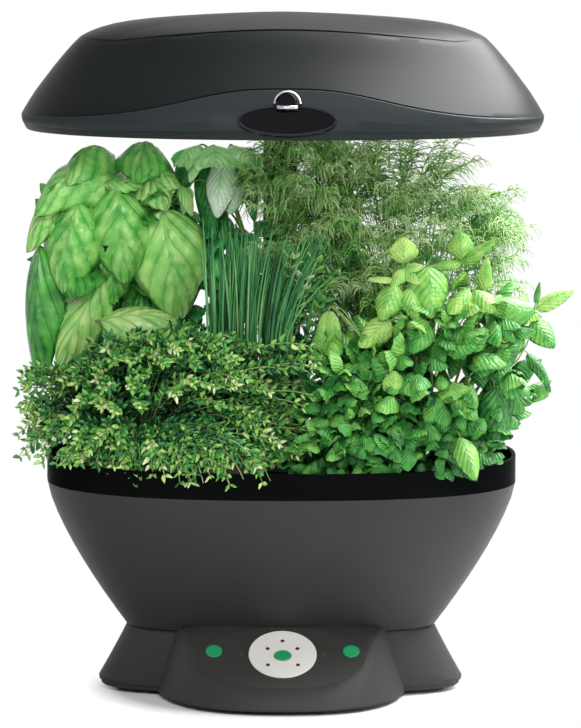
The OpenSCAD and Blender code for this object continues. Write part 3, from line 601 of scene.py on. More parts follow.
def hood_cover():
    """The hood's shell: an inner skin, a swept band along the front, the leaning face and the flatter top."""
    def inside(z, share=1):
        a, b = hood_size(z)
        return level_ring((a - HOOD_WALL) * share, (b - HOOD_WALL) * share, HOOD_POWER, z)

    def outside(level):
        return lambda turn: hood_point(turn, level)

    stations = [inside(514, 0.1), inside(509, 0.85)]
    stations += [inside(z) for z in (500, 480, 460, 443, HOOD_Z + LIP_H)]
    levels = [0, 0.08, 0.35, 0.65, 0.9, 0.97, 0.995, 1.03, 1.08, 1.955, 1.995, 2.015, 2.05, 2.1, 2.16, 2.24,
              2.34, 2.46, 2.6, 2.75, 2.88, 2.97, *(1.2 + 0.1 * k for k in range(8)), *GROOVE_LEVELS]
    bm = loft(stations + [outside(level) for level in sorted(levels)])
    inlay, band = bm.verts.layers.float.new("inlay"), bm.verts.layers.float.new("band")
    turn = bm.verts.layers.float["turn"]
    for vert in bm.verts:
        crease, edge = (hood_point(vert[turn], level)[2] for level in (1, 2))
        vert[inlay] = float(vert.co.z > (edge + 0.25) * MM)
        # The band below the crease is tinted lighter than the rest of the hood: painted light
        vert[band] = float(vert.co.z < (crease + 0.1) * MM)
    return finish(to_object(bm, "hood_cover", 22), "lamp", "hood_plastic", "hood_shell")


def hood_rim():
    """The lower lip: a thin band that closes the hood's edge."""
    a, b = hood_size(HOOD_Z)
    # How far each ring stands in from the hood's edge, and its height over the hood's foot
    rings = [(6.5, 4.6), (7, 0.6), (6.6, 0), (4.2, 0), (3.2, 0.4), (2.3, 1.6), (0.7, 4.9)]
    bm = loft([level_ring(a - inset, b - inset, HOOD_POWER, HOOD_Z + up) for inset, up in rings])
    caps = [face for face in bm.faces if len(face.verts) > 4]
    bmesh.ops.delete(bm, geom=caps, context="FACES_ONLY")
    open_edges = [edge for edge in bm.edges if edge.is_boundary]
    bmesh.ops.bridge_loops(bm, edges=open_edges)
    bmesh.ops.recalc_face_normals(bm, faces=bm.faces)
    return finish(to_object(bm, "hood_rim", 30), "lamp", "lip_plastic", "hood_lip")


# The badge stands on the swept band: it leans back with it and is a little narrower
BADGE_HEEL, BADGE_SHIFT = Vector((4, -116, 446)) * MM, Vector((-3, -3.5, -2.5)) * MM
BADGE_LEAN, BADGE_NARROW = Matrix.Rotation(math.radians(5), 4, "X"), Matrix.Diagonal((0.94, 1, 1, 1))
BADGE_MOVE = (Matrix.Translation(BADGE_HEEL + BADGE_SHIFT) @ BADGE_LEAN @ BADGE_NARROW
              @ Matrix.Translation(-BADGE_HEEL))
DOME_MOVE = Matrix.Translation(Vector((0, -1, -2)) * MM) @ BADGE_MOVE
# Arch over the dome: half width, height, lean and the radius of its wire; the bar at its foot
ARCH_HALF, ARCH_H, ARCH_LEAN, ARCH_WIRE = 9.6, 9, 5, 0.9
BAR_ENDS, BAR_RADII = (-8, -7.4, 7.4, 8), (0.7, 1.6, 1.6, 0.7)


def dome_trim():
    """Chromed arch over the dome and the bar at its foot."""
    dome = frame["nodes"]["badge_dome"]
    box = [dome.matrix_world @ Vector(corner) for corner in dome.bound_box]
    middle = DOME_MOVE @ (sum(box, Vector()) / 8) / MM
    bm = blank_mesh()
    arch = []
    for turn in (math.pi * k / 18 for k in range(19)):
        wide, high = math.cos(turn), math.sin(turn)
        arch.append(middle + Vector((ARCH_HALF * wide, -2.5 - ARCH_LEAN * (1 - high), ARCH_H * high)))
    tube(bm, arch, [ARCH_WIRE] * len(arch), 0, 8)
    foot = middle + Vector((0, -8.5, -2.6))
    tube(bm, [foot + Vector((x, 0, 0)) for x in BAR_ENDS], BAR_RADII, 0, 8)
    return finish(to_object(bm, "badge_dome_trim", 60), "lamp", "badge_rim", skin="dome_rim")


# ---- Foot ----

FOOT_W, FOOT_D, WING_D, TONGUE_W, SEAT_H = 280, 264, 108, 194, 51
WING_POWER, TONGUE_POWER = 2.3, 2.45
LIP_AT, TILT = 8, math.radians(33.4)
SOLE_Z, TONGUE_LOW = 3.2, 4.5
# The tongue's ridge behind the console, and the slope of its flanks over the share of the outline
RIDGE_Z, RIDGE_RISE, RIDGE_HALF = SEAT_H - 3, 14.5, 98
FLANK_Z, FLANK_SLOPE = 5, 320
FLANK_BLEND, RIDGE_BLEND = 14, 6
# Corners and floor of the mast's well
WELL_LOW, WELL_HIGH, WELL_FLOOR, WELL_MARGIN = (-14.9, 87.1), (14.9, 104.9), 10, 16
# Height of each ring of the wings, and how far it stands out in width and depth
WING_ROWS = [
    (SOLE_Z, -7, -7), (SOLE_Z, -3.6, -3.6), (4.4, -2, -2), (6.6, -1.6, -1.6), (7.4, -0.3, -0.3), (10, 0, 0),
    (16, -3.4, -0.4), (22, -6.8, -0.9), (29, -10.6, -1.5), (36, -14.4, -2.2), (43, -18, -3.4),
    (49.5, -21.2, -4.6), (50.6, -22.2, -5.6), (50.9, -40, -24),
]
# Rings of the tongue: first the share and height of those under its edge, then the shares of its skin
TONGUE_EDGE = [(0.97, SOLE_Z), (0.99, SOLE_Z), (0.998, 3.5)]
TONGUE_SHARES = [1, 0.998, 0.994, 0.988, 0.982, 0.976, 0.97, 0.962, 0.954, 0.944, 0.932, 0.918, 0.9, 0.88,
                 0.86, 0.84, 0.8, 0.75, 0.7, 0.65, 0.6, 0.55, 0.5, 0.4, 0.2]


def console_height(y):
    return LIP_AT + (FOOT_D / 2 - abs(y)) * math.tan(TILT)


def soft_min(a, b, blend):
    """The lower of two heights, with their meeting line rounded over."""
    h = max(blend - abs(a - b), 0) / blend
    return min(a, b) - h * h * blend / 4


def tongue_point(turn, share):
    """Point of the tongue's and the tail's skin; share 1 is the outline on the table, 0 the middle."""
    x, y = oval(turn, TONGUE_W / 2 * share, FOOT_D / 2 * share, TONGUE_POWER)
    wide = min(abs(x) / RIDGE_HALF, 1)
    ridge = RIDGE_Z + RIDGE_RISE * math.cos(wide * math.pi / 2) ** 0.8
    flank = FLANK_Z + FLANK_SLOPE * (1 - share)
    z = soft_min(soft_min(console_height(y), flank, FLANK_BLEND), ridge, RIDGE_BLEND)
    return x, y, max(z, TONGUE_LOW)


def cut_well(bm, low, high, floor):
    """Sinks a square well with its floor at a height into the upper skin between two corners."""
    def within(face, margin):
        middle = face.calc_center_median()
        return all(low[k] - margin < middle[k] / MM < high[k] + margin for k in (0, 1))

    near = [face for face in bm.faces
            if within(face, WELL_MARGIN) and face.calc_center_median().z > floor * MM]
    for axis, at in ((0, low[0]), (0, high[0]), (1, low[1]), (1, high[1])):
        geom = near + list({edge for face in near for edge in face.edges})
        geom += list({vert for face in near for vert in face.verts})
        place, way = Vector((0, 0, 0)), Vector((0, 0, 0))
        place[axis], way[axis] = at * MM, 1
        cut = bmesh.ops.bisect_plane(bm, geom=geom, plane_co=place, plane_no=way)["geom"]
        near = [item for item in cut if isinstance(item, bmesh.types.BMFace)]
    bmesh.ops.delete(bm, geom=[face for face in near if within(face, 0)], context="FACES")
    edges = [edge for edge in bm.edges if edge.is_boundary]
    new = bmesh.ops.extrude_edge_only(bm, edges=edges)["geom"]
    for vert in (item for item in new if isinstance(item, bmesh.types.BMVert)):
        vert.co.z = floor * MM
    bmesh.ops.holes_fill(bm, edges=[edge for edge in bm.edges if edge.is_boundary], sides=0)
    bmesh.ops.recalc_face_normals(bm, faces=bm.faces)


def foot_cover():
    """The foot's outside: two wings under the bowl, and the tongue with the sloping console. The mast stands
    in the tail's well."""
    def skin(share):
        return lambda turn: tongue_point(turn, share)

    wings = [level_ring(FOOT_W / 2 + wide, WING_D / 2 + deep, WING_POWER, z) for z, wide, deep in WING_ROWS]
    bm = loft(wings)
    rows = [level_ring(TONGUE_W / 2 * share, FOOT_D / 2 * share, TONGUE_POWER, z) for share, z in TONGUE_EDGE]
    loft(rows + [skin(share) for share in TONGUE_SHARES], bm=bm)
    cut_well(bm, WELL_LOW, WELL_HIGH, WELL_FLOOR)
    return finish(to_object(bm, "foot_cover", 24), "stand", "foot_plastic", "base_housing")


# ---- Leaves, threads and stems ----

# Height of the stems' feet in the sponges
STEM_FOOT = 172
LEAF_MM = 0.4


def axes(along, face):
    """Directions across, along and out of a leaf."""
    along = Vector(along).normalized()
    across = along.cross(Vector(face)).normalized()
    return across, along, across.cross(along)


def leaf(bm, base, tip, width, face, tone, arch, cup=0.2, fold=0.08, quilt=0.0, wave=0.0, waves=5,
         full=0.66, sway=0.0, veins=6, slant=0.42, grid=(10, 16), thick=LEAF_MM):
    """Leaf blade from base to tip, looking along face. Arch bends it along its length, cup and fold bend its
    edges back, quilt swells it between the slanting side veins, wave ruffles its margin, full rounds its
    outline and sway bows it sideways."""
    base, tip = Vector(base), Vector(tip)
    across, along, out = axes(tip - base, face)
    bend = (tip - base).length / (2 * math.sin(arch / 2))
    blade = blank_mesh()
    uv, shade = blade.loops.layers.uv["blade"], blade.verts.layers.float["tone"]
    bmesh.ops.create_grid(blade, x_segments=grid[0], y_segments=grid[1], size=1)
    # Rows stand closer together at both ends
    for vert in blade.verts:
        t = min(max((vert.co.y + 1) / 2, 0), 1)
        vert.co.y = mix(t, t * t * (3 - 2 * t), 0.75)
    for near in blade.faces:
        for corner in near.loops:
            corner[uv].uv = (corner.vert.co.x + 1) / 2, corner.vert.co.y
    for vert in blade.verts:
        s, t = vert.co.x, vert.co.y
        half = width / 2 * (0.03 + 0.97 * abs(math.sin(math.pi * t ** full)) ** 0.64)
        swell = abs(math.sin(math.pi * veins * (t - slant * abs(s)))) * (1 - s * s) * math.sin(math.pi * t)
        high = (width * quilt * swell + width * wave * abs(s) ** 3 * math.sin(2 * math.pi * waves * t + 3 * s)
                - half * 2 * (cup * s * s + fold * abs(s)))
        turn = arch * (t - 0.5)
        up = along * math.sin(turn) + out * math.cos(turn)
        middle = base + along * (bend * (math.sin(turn) + math.sin(arch / 2)))
        middle += out * (bend * (math.cos(turn) - math.cos(arch / 2)))
        middle += across * (sway * (tip - base).length * math.sin(math.pi * t))
        vert.co = (middle + across * (s * half) + up * high) * MM
        vert[shade] = tone
    bmesh.ops.solidify(blade, geom=list(blade.faces), thickness=thick * MM)
    merge(bm, blade)


def as_template(bm):
    """Mesh of a bmesh, kept to be copied, with its points and tones."""
    bmesh.ops.recalc_face_normals(bm, faces=bm.faces)
    mesh = bpy.data.meshes.new("template")
    bm.to_mesh(mesh)
    bm.free()
    points, tones = np.empty(len(mesh.vertices) * 3), np.empty(len(mesh.vertices))
    mesh.vertices.foreach_get("co", points)
    mesh.attributes["tone"].data.foreach_get("value", tones)
    return mesh, points.reshape(-1, 3), tones


def leaf_templates(count, seed, **form):
    """Small leaf blades, one metre long and wide, to be copied at the size of each leaf."""
    rng = random.Random(seed)
    made = []
    for _ in range(count):
        bm = blank_mesh()
        arch, cup, fold = rng.uniform(0.3, 1.1), rng.uniform(0.05, 0.3), rng.uniform(0.0, 0.2)
        leaf(bm, (0, 0, 0), (0, 1000, 0), 1000, (0, 0, 1), 0, arch, cup, fold, **form)
        made.append(as_template(bm))
    return made


def copy_in(bm, template, at, along, face, length, width, tone):
    """Adds a copy of a template mesh, from a place along a direction."""
    mesh, points, tones = template
    across, ahead, out = axes(along, face)
    turn = np.array([across * width, ahead * length, out * length]) * MM
    mesh.vertices.foreach_set("co", (points @ turn + np.array(at) * MM).ravel())
    mesh.attributes["tone"].data.foreach_set("value", tones + tone)
    bm.from_mesh(mesh)


def any_way(rng):
    return Vector([rng.gauss(0, 1) for _ in range(3)]).normalized()


def finish_plant(bm, name, slot, node, skin=None):
    """A plant's piece, rooted in its pod, riding on the stand with a mesh of its own."""
    piece = finish(to_object(bm, name, 180), "stand", slot, node, skin=skin)
    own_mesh(piece)


def hang_leaves(leaves, stems, rows, trunk, radius, **more):
    """Draws a table's leaves, each on a stalk from the nearest higher part of the trunk."""
    trunk = [Vector(point) for point in trunk]
    for base, tip, width, face, tone, arch, *form in rows:
        leaf(leaves, base, tip, width, face, tone, arch, **{**more, **dict(*form)})
        base, tip = Vector(base), Vector(tip)
        knot = min(trunk, key=lambda point: (point - base + Vector((0, 0, 18))).length)
        bend = base - (tip - base).normalized() * (base - knot).length * 0.4
        tube(stems, bow(knot, bend, base, 5), taper(radius, radius * 0.6, 5), 0.45)


# ---- Basil ----

# A leaf: base, tip, width, the way it faces, tone, arch and the rest of its form. Low tones are painted
# shade on the leaves at the back
BASIL_LEAVES = [
    [(-122, 12, 391), (-190, 0, 366), 44, (-0.2, -0.9, 0.6), 0.5, 0.9, dict(cup=0.28, quilt=0.1, sway=0.2)],
    [(-151, 20, 386), (-196, 10, 336), 28, (-0.4, -1, 0.3), 0.66, 0.7, dict(cup=0.3, quilt=0.1, sway=0.1)],
    [(-104, 52, 411), (-111, -2, 390), 50, (0.05, -0.5, 1), 0.36, 1.9, dict(cup=0.3, quilt=0.09)],
    [(-132, 50, 407), (-165, 0, 388), 44, (-0.25, -0.5, 1), 0.42, 1.8, dict(cup=0.3, quilt=0.09)],
    [(-134, 6, 390), (-107, -2, 388), 15, (0, -0.8, 0.6), 0.5, 0.8, dict(cup=0.3, quilt=0.09)],
    [(-105, 16, 398), (-88, 4, 369), 32, (0.35, -1, 0.25), 0.62, 0.8, dict(cup=0.2, quilt=0.1)],
    [(-103, 22, 399), (-78, 12, 386), 26, (0.3, -0.8, 0.6), 0.6, 0.9, dict(cup=0.25, quilt=0.1)],
    [(-127, 2, 387), (-120, -4, 313), 57, (0.03, -1, 0.3), 0.46, 0.7, dict(cup=0.32, quilt=0.13, fold=0.12)],
    [(-157, 8, 377), (-168, 0, 305), 55, (-0.25, -1, 0.22), 0.46, 0.7, dict(cup=0.32, quilt=0.13, fold=0.12)],
    [(-92, 14, 369), (-79, 6, 283), 63, (0.15, -1, 0.12), 0.56, 0.5, dict(cup=0.12, quilt=0.08)],
    [(-139, 2, 284), (-80, -10, 285), 41, (0, -0.75, 0.65), 0.7, 0.9, dict(cup=0.3, quilt=0.07)],
    [(-186, 20, 340), (-186, 12, 231), 36, (-0.6, -1, 0.05), 0.22, 0.6, dict(cup=0.35)],
    [(-138, 10, 318), (-172, 2, 248), 41, (-0.15, -1, 0.25), 0.68, 0.5, dict(cup=0.35)],
    [(-126, 14, 333), (-131, 10, 296), 28, (0, -1, 0.1), 0.45, 0.5, dict(quilt=0.1, wave=0.04)],
    [(-131, 16, 356), (-134, 10, 318), 26, (0, -1, 0.1), 0.5, 0.4, dict(cup=0.05)],
    [(-96, 22, 379), (-96, 18, 323), 20, (0.3, -1, 0.1), 0.72, 0.4],
    [(-78, 16, 387), (-69, 10, 364), 11, (0.3, -1, 0.2), 0.6, 1.2, dict(wave=0.05)],
    [(-108, 34, 355), (-102, 30, 294), 34, (0.2, -1, 0.1), 0.2, 0.5],
    [(-147, 34, 305), (-140, 30, 263), 31, (0, -1, 0.1), 0.12, 0.5],
    [(-136, 38, 382), (-173, 36, 347), 35, (-0.4, -0.8, 0.4), 0.2, 0.7],
    [(-121, 30, 297), (-102, 26, 259), 28, (0.1, -1, 0.2), 0.12, 0.5],
    [(-171, 36, 297), (-162, 32, 257), 26, (-0.3, -1, 0.1), 0.14, 0.5],
    [(-86, 36, 297), (-94, 34, 262), 26, (0.2, -1, 0.1), 0.14, 0.5],
    [(-100, 36, 340), (-76, 32, 300), 34, (0.2, -1, 0.1), 0.2, 0.5],
    [(-118, 34, 318), (-110, 30, 276), 34, (0, -1, 0.1), 0.18, 0.5],
    [(-150, 30, 268), (-160, 26, 232), 30, (0, -1, 0.1), 0.2, 0.5],
]
# Half axes and top of the bowl's rim
RIM_A, RIM_B, RIM_TOP = 180, 128, 187


def at_rim(at):
    """True where a leaf would stand in the wall of the bowl's rim."""
    return at.z < RIM_TOP and 0.86 < (at.x / RIM_A) ** 2 + (at.y / RIM_B) ** 2 < 1.06


def crown_leaves(leaves, rng, templates, count, middle, reach, size, tones, gaps=(), drop=-0.25):
    """Small leaves spread through a crown, facing out of it: inner and lower ones are darker, painted shade.
    Gaps are boxes in x and z that stay open, and drop is how far leaves hang down."""
    for _ in range(count):
        way = any_way(rng)
        share = rng.uniform(0.25, 1) ** 0.5
        at = Vector([m + w * r * share for m, w, r in zip(middle, way, reach)])
        length = rng.uniform(*size)
        if at_rim(at) or any(left < at.x < right and low < at.z < high for left, right, low, high in gaps):
            continue
        along = (way + any_way(rng) * 0.8 + Vector((0, 0, drop))).normalized()
        face = way + Vector((0, -0.3, 0.9)) + any_way(rng) * 0.35
        # Painted shade: the tone falls towards the crown's middle and its underside
        tone = mix(tones[0], tones[1], share ** 2 * (0.6 + 0.4 * way.z)) + rng.gauss(0, 0.09)
        copy_in(leaves, rng.choice(templates), at, along, face, length, length * rng.uniform(0.6, 0.8), tone)


def basil():
    rng = random.Random(11)
    leaves, stems = blank_mesh(), blank_mesh()
    trunk = bow((-105, 38, STEM_FOOT), (-112, 44, 280), (-131, 30, 392), 12)
    tube(stems, trunk, taper(3.2, 1.6, 12), 0.5, 8)
    for start, end in ((3, (-160, 40, 330)), (4, (-95, 30, 330)), (5, (-150, 24, 300)), (2, (-100, 52, 300))):
        branch = bow(trunk[start], (trunk[start] + Vector(end)) / 2 + Vector((0, 0, -16)), end, 8)
        tube(stems, branch, taper(2.2, 1.2, 8), 0.5, 7)
        trunk = trunk + branch
    hang_leaves(leaves, stems, BASIL_LEAVES, trunk, 1.2, veins=4, slant=0.55)
    templates = leaf_templates(4, 21, quilt=0.06, veins=4, slant=0.55, grid=(8, 10), thick=9)
    crown_leaves(leaves, rng, templates, 60, (-124, 48, 326), (42, 24, 62), (38, 56), (0.0, 0.4), drop=-0.9)
    finish_plant(leaves, "basil_leaves", "basil_leaf", "basil")
    finish_plant(stems, "basil_stems", "basil_leaf", "basil", "stem")


# ---- Broad-leaved herb ----

# Columns as the basil's; the leaves at the back and low in the crown have low tones, painted shade
BROAD_LEAVES = [
    [(-52, 50, 415), (-51, -6, 403), 64, (0, -0.45, 1), 0.62, 0.7, dict(cup=0.12, wave=0.05, waves=7)],
    [(-45, 22, 406), (-50, 8, 363), 24, (-0.15, -1, 0.2), 0.97, 0.6, dict(cup=0.25, quilt=0.1)],
    [(-34, 26, 391), (-40, 14, 365), 18, (0.2, -1, 0.2), 0.88, 0.5, dict(cup=0.25, quilt=0.08)],
    [(-27, 34, 404), (-21, 30, 358), 15, (0.3, -1, 0.1), 0.12, 0.5],
    [(-65, 18, 407), (-71, 10, 390), 9, (-0.2, -1, 0.3), 0.8, 0.8],
    [(-69, 40, 408), (-80, 38, 380), 20, (-0.2, -1, 0.3), 0.15, 0.6],
    [(-60, 44, 401), (-52, 40, 339), 20, (0, -1, 0.1), 0.08, 0.4],
    [(-71, 22, 385), (-76, 16, 365), 10, (-0.3, -1, 0.2), 0.6, 1.2, dict(wave=0.05)],
    [(-63, 40, 416), (-80, 14, 402), 34, (-0.3, -0.7, 0.8), 0.66, 0.9, dict(wave=0.05)],
    [(-38, 40, 416), (-25, 10, 404), 31, (0.3, -0.7, 0.8), 0.7, 0.9, dict(wave=0.05)],
    [(-34, 30, 413), (-16, 18, 400), 20, (0.4, -0.7, 0.6), 0.45, 0.8, dict(wave=0.04)],
    [(-66, 34, 413), (-85, 22, 406), 20, (-0.4, -0.7, 0.6), 0.4, 0.8, dict(wave=0.04)],
    [(-43, 50, 361), (-58, 46, 325), 23, (-0.2, -1, 0.1), 0.1, 0.5],
    [(-35, 52, 351), (-23, 50, 311), 23, (0.2, -1, 0.1), 0.1, 0.5],
    [(-32, 52, 324), (-48, 50, 287), 23, (-0.1, -1, 0.1), 0.08, 0.5],
    [(-26, 50, 311), (-10, 48, 272), 23, (0.1, -1, 0.1), 0.08, 0.5],
]


def broad_herb():
    rng = random.Random(12)
    leaves, stems = blank_mesh(), blank_mesh()
    trunk = bow((0, 38, STEM_FOOT), (-6, 44, 300), (-50, 38, 406), 14)
    tube(stems, trunk, taper(3.0, 1.5, 14), 0.4, 8)
    hang_leaves(leaves, stems, BROAD_LEAVES, trunk, 1.1)
    templates = leaf_templates(4, 22, quilt=0.08, wave=0.03, grid=(8, 10), thick=9)
    crown_leaves(leaves, rng, templates, 20, (-36, 56, 345), (26, 20, 56), (24, 36), (0.0, 0.3))
    crown_leaves(leaves, rng, templates, 12, (-16, 50, 260), (20, 16, 50), (22, 32), (0.0, 0.2))
    crown_leaves(leaves, rng, templates, 30, (-60, 52, 296), (13, 16, 38), (24, 34), (0.0, 0.25))
    crown_leaves(leaves, rng, templates, 18, (-44, 56, 322), (24, 14, 44), (24, 34), (0.0, 0.2))
    finish_plant(leaves, "broad_herb_leaves", "broad_leaf", "broad_herb")
    finish_plant(stems, "broad_herb_stems", "broad_leaf", "broad_herb", "stem")


# ---- Mint ----

# Columns as the basil's; leaves in and near the crown's openings have low tones, painted shade
MINT_LEAVES = [
    [(134, -60, 338), (133, -64, 360), 21, (0, -1, 0.4), 0.72, 0.7, dict(cup=0.3)],
    [(136, -60, 335), (160, -66, 354), 11, (0.1, -0.8, 0.6), 0.7, 0.5],
    [(134, -60, 336), (113, -68, 333), 10, (-0.1, -0.8, 0.6), 0.66, 0.6],
    [(135, -58, 335), (147, -44, 346), 14, (0, -0.8, 0.6), 0.6, 0.5],
    [(151, -70, 315), (153, -74, 342), 11, (0.1, -1, 0.1), 0.78, 0.5],
    [(90, -74, 336), (90, -80, 357), 23, (0, -1, 0.35), 0.9, 0.7, dict(quilt=0.05)],
    [(91, -80, 333), (80, -88, 320), 11, (-0.2, -1, 0.4), 0.8, 0.6],
    [(91, -80, 333), (102, -88, 322), 11, (0.2, -1, 0.4), 0.78, 0.6],
    [(91, -80, 334), (105, -84, 335), 9, (0.2, -0.8, 0.6), 0.8, 0.6],
    [(83, -84, 325), (63, -90, 326), 6, (0, -0.8, 0.6), 0.92, 0.4],
    [(108, -84, 335), (110, -92, 297), 31, (0.1, -1, 0.2), 0.6, 0.5, dict(wave=0.05, quilt=0.05)],
    [(84, -86, 322), (72, -96, 296), 23, (-0.2, -1, 0.3), 0.68, 0.7, dict(cup=0.3)],
    [(93, -86, 319), (99, -96, 296), 17, (0.1, -1, 0.3), 0.6, 0.7],
    [(140, -82, 317), (123, -94, 301), 21, (-0.2, -0.9, 0.5), 0.8, 0.8, dict(cup=0.3)],
    [(143, -82, 317), (159, -94, 302), 21, (0.2, -0.9, 0.5), 0.76, 0.8, dict(cup=0.3)],
    [(190, -64, 299), (152, -78, 306), 24, (0, -0.9, 0.5), 0.45, 0.6, dict(cup=0.25)],
    [(191, -60, 301), (220, -56, 314), 13, (0.1, -0.8, 0.6), 0.76, 0.9],
    [(191, -60, 305), (194, -58, 321), 5, (0.2, -1, 0.1), 0.3, 0.5],
    [(188, -62, 292), (205, -68, 272), 20, (0.2, -1, 0.3), 0.5, 0.8],
    [(185, -60, 267), (203, -60, 237), 10, (0.4, -0.8, 0.4), 0.18, 1.1],
    [(201, -58, 242), (189, -62, 230), 11, (0, -1, 0.2), 0.42, 1.2],
    [(162, -82, 250), (186, -84, 239), 21, (0.1, -0.9, 0.5), 0.34, 0.6],
    [(183, -64, 279), (151, -76, 269), 18, (0, -0.9, 0.5), 0.5, 0.6],
    [(161, -86, 244), (157, -92, 195), 24, (0.2, -1, 0.1), 0.13, 0.5, dict(cup=0.3)],
    [(132, -108, 209), (143, -126, 179), 19, (0.1, -1, 0.2), 0.62, 0.7, dict(cup=0.25)],
    [(80, -90, 295), (56, -96, 276), 22, (-0.1, -1, 0.3), 0.86, 0.6, dict(quilt=0.06)],
    [(82, -104, 240), (82, -108, 259), 18, (0, -1, 0.3), 0.78, 0.5],
    [(109, -88, 293), (95, -96, 271), 20, (-0.1, -1, 0.3), 0.4, 0.7],
    [(128, -84, 290), (142, -92, 271), 21, (0.1, -1, 0.2), 0.35, 0.7],
    [(163, -76, 274), (162, -84, 248), 20, (0, -1, 0.2), 0.25, 0.6],
    [(116, -96, 239), (107, -104, 217), 17, (-0.1, -1, 0.3), 0.4, 0.7],
    [(128, -98, 239), (145, -106, 222), 18, (0.1, -1, 0.3), 0.5, 0.7],
    [(115, -96, 241), (139, -102, 245), 17, (0.1, -0.9, 0.5), 0.66, 0.7],
    [(54, -106, 212), (54, -114, 197), 17, (0, -1, 0.3), 0.45, 0.7],
    [(92, -110, 200), (92, -120, 185), 15, (0, -1, 0.3), 0.3, 0.7],
    [(34, -70, 300), (25, -78, 277), 9, (-0.1, -1, 0.3), 0.85, 0.6],
    [(34, -70, 300), (43, -78, 278), 9, (0.1, -1, 0.3), 0.8, 0.6],
    [(34, -72, 299), (36, -80, 275), 8, (0, -1, 0.3), 0.75, 0.6],
]

# Openings in the crown, from x to x and from z to z
MINT_GAPS = [(160, 190, 258, 284), (120, 136, 240, 268)]
MINT_STEMS = [
    (136, -60, 330), (92, -74, 318), (110, -84, 300), (150, -70, 296), (195, -60, 305), (176, -72, 262),
    (60, -90, 280), (120, -100, 240), (76, -98, 236), (168, -84, 236), (98, -70, 270), (140, -96, 252),
]


def mint():
    rng = random.Random(13)
    leaves, inner, stems = blank_mesh(), blank_mesh(), blank_mesh()
    trunk = []
    for end in MINT_STEMS:
        root = Vector((115, -42, STEM_FOOT)) + any_way(rng) * 8
        root.z = STEM_FOOT
        over = mix(root.x, end[0], 0.45), mix(root.y, end[1], 0.5), mix(STEM_FOOT, end[2], 0.7)
        stem = bow(root, over, end, 10)
        tube(stems, stem, taper(1.5, 0.8, 10), rng.uniform(0.3, 0.8), 6)
        trunk += stem[3:]
    hang_leaves(leaves, stems, MINT_LEAVES, trunk, 0.7, quilt=0.07, wave=0.035, waves=6)
    templates = leaf_templates(6, 23, quilt=0.12, wave=0.035, waves=6, full=0.76, grid=(6, 10), thick=12)
    crown_leaves(inner, rng, templates, 380, (112, -62, 244), (70, 46, 58), (15, 27), (0.05, 0.72), MINT_GAPS)
    crown_leaves(inner, rng, templates, 120, (44, -84, 238), (26, 24, 40), (12, 20), (0.1, 0.66))
    crown_leaves(leaves, rng, templates, 190, (60, -84, 212), (48, 30, 36), (12, 21), (0.1, 0.66))
    crown_leaves(leaves, rng, templates, 80, (34, -100, 196), (34, 16, 20), (10, 16), (0.1, 0.7))
    crown_leaves(leaves, rng, templates, 90, (104, -100, 198), (58, 12, 20), (12, 18), (0.0, 0.5))
    crown_leaves(leaves, rng, templates, 70, (132, -66, 294), (50, 22, 26), (14, 24), (0.2, 0.8), MINT_GAPS)
    finish_plant(leaves, "mint_leaves_1", "mint_leaf", "mint")
    finish_plant(inner, "mint_leaves_2", "mint_leaf", "mint")
    finish_plant(stems, "mint_stems", "mint_leaf", "mint", "stem")


# ---- Thyme ----

# Ends of the sprigs that stand clear of the crown
THYME_SPRIGS = [(6, -52, 338), (24, -54, 336), (36, -56, 326), (16, -54, 322), (30, -60, 306)]
# Height of the crown along x
THYME_TOP = [[-190, 258], [-150, 270], [-105, 272], [-65, 286], [-30, 276], [25, 250]]
# Sprigs in the crown, those and the ones along the deck, and the sprigs in a round
THYME_CROWN, THYME_COUNT, THYME_ROUND = 420, 480, 34
# Knots of a sprig, and the first one with a tuft
SPRIG_STEPS, SPRIG_TUFT = 16, 15


def thyme_sprig(rng, k):
    """Root, bend and end of a sprig. Most stand in the crown. In each round some reach to the front, right
    and left, and some hang over the rim. Later ones lie along the front of the deck, and the last stand
    clear."""
    turn = rng.uniform(0, 2 * math.pi)
    share = math.sqrt(rng.uniform(0.02, 1))
    end = Vector((-90 + 112 * share * math.cos(turn), -64 + 62 * share * math.sin(turn), 0))
    top = between(THYME_TOP, end.x)[0]
    end.z = top - (top - 184) * share ** 4 + rng.gauss(0, 5)
    root = Vector((-115 + rng.gauss(0, 7), -42 + rng.gauss(0, 7), 174))
    place = k % THYME_ROUND
    if 4 <= place < 9:
        end = Vector((rng.uniform(-178, 20), rng.uniform(-114, -92), rng.uniform(184, 210)))
    elif 9 <= place < 14:
        end = Vector((rng.uniform(-45, 28), rng.uniform(-108, -60), rng.uniform(190, 276)))
    elif 14 <= place < 16:
        end = Vector((rng.uniform(-204, -176), rng.uniform(-90, -40), rng.uniform(196, 262)))
    over = Vector((mix(root.x, end.x, 0.6), mix(root.y, end.y, 0.6), max(end.z, 215) + 24 * share))
    if place < 4:
        end = Vector((rng.uniform(-165, -5), 0, rng.uniform(174, 190)))
        end.y = -RIM_B * math.sqrt(1 - (end.x / RIM_A) ** 2) - rng.uniform(3, 7)
        over = Vector((mix(root.x, end.x, 0.75), end.y + 4, 236))
    if THYME_CROWN <= k < THYME_COUNT:
        end = Vector((rng.uniform(-156, 12), 0, rng.uniform(184, 200)))
        end.y = -112 * math.sqrt(1 - (end.x / 172) ** 2) + rng.uniform(0, 8)
        over = Vector((mix(root.x, end.x, 0.7), mix(root.y, end.y, 0.7), rng.uniform(206, 222)))
    if k >= THYME_COUNT:
        root, end = Vector((-10, -60, 190)), Vector(THYME_SPRIGS[k - THYME_COUNT])
        over = Vector((mix(root.x, end.x, 0.5), end.y, mix(root.z, end.z, 0.6)))
    return root, over, end


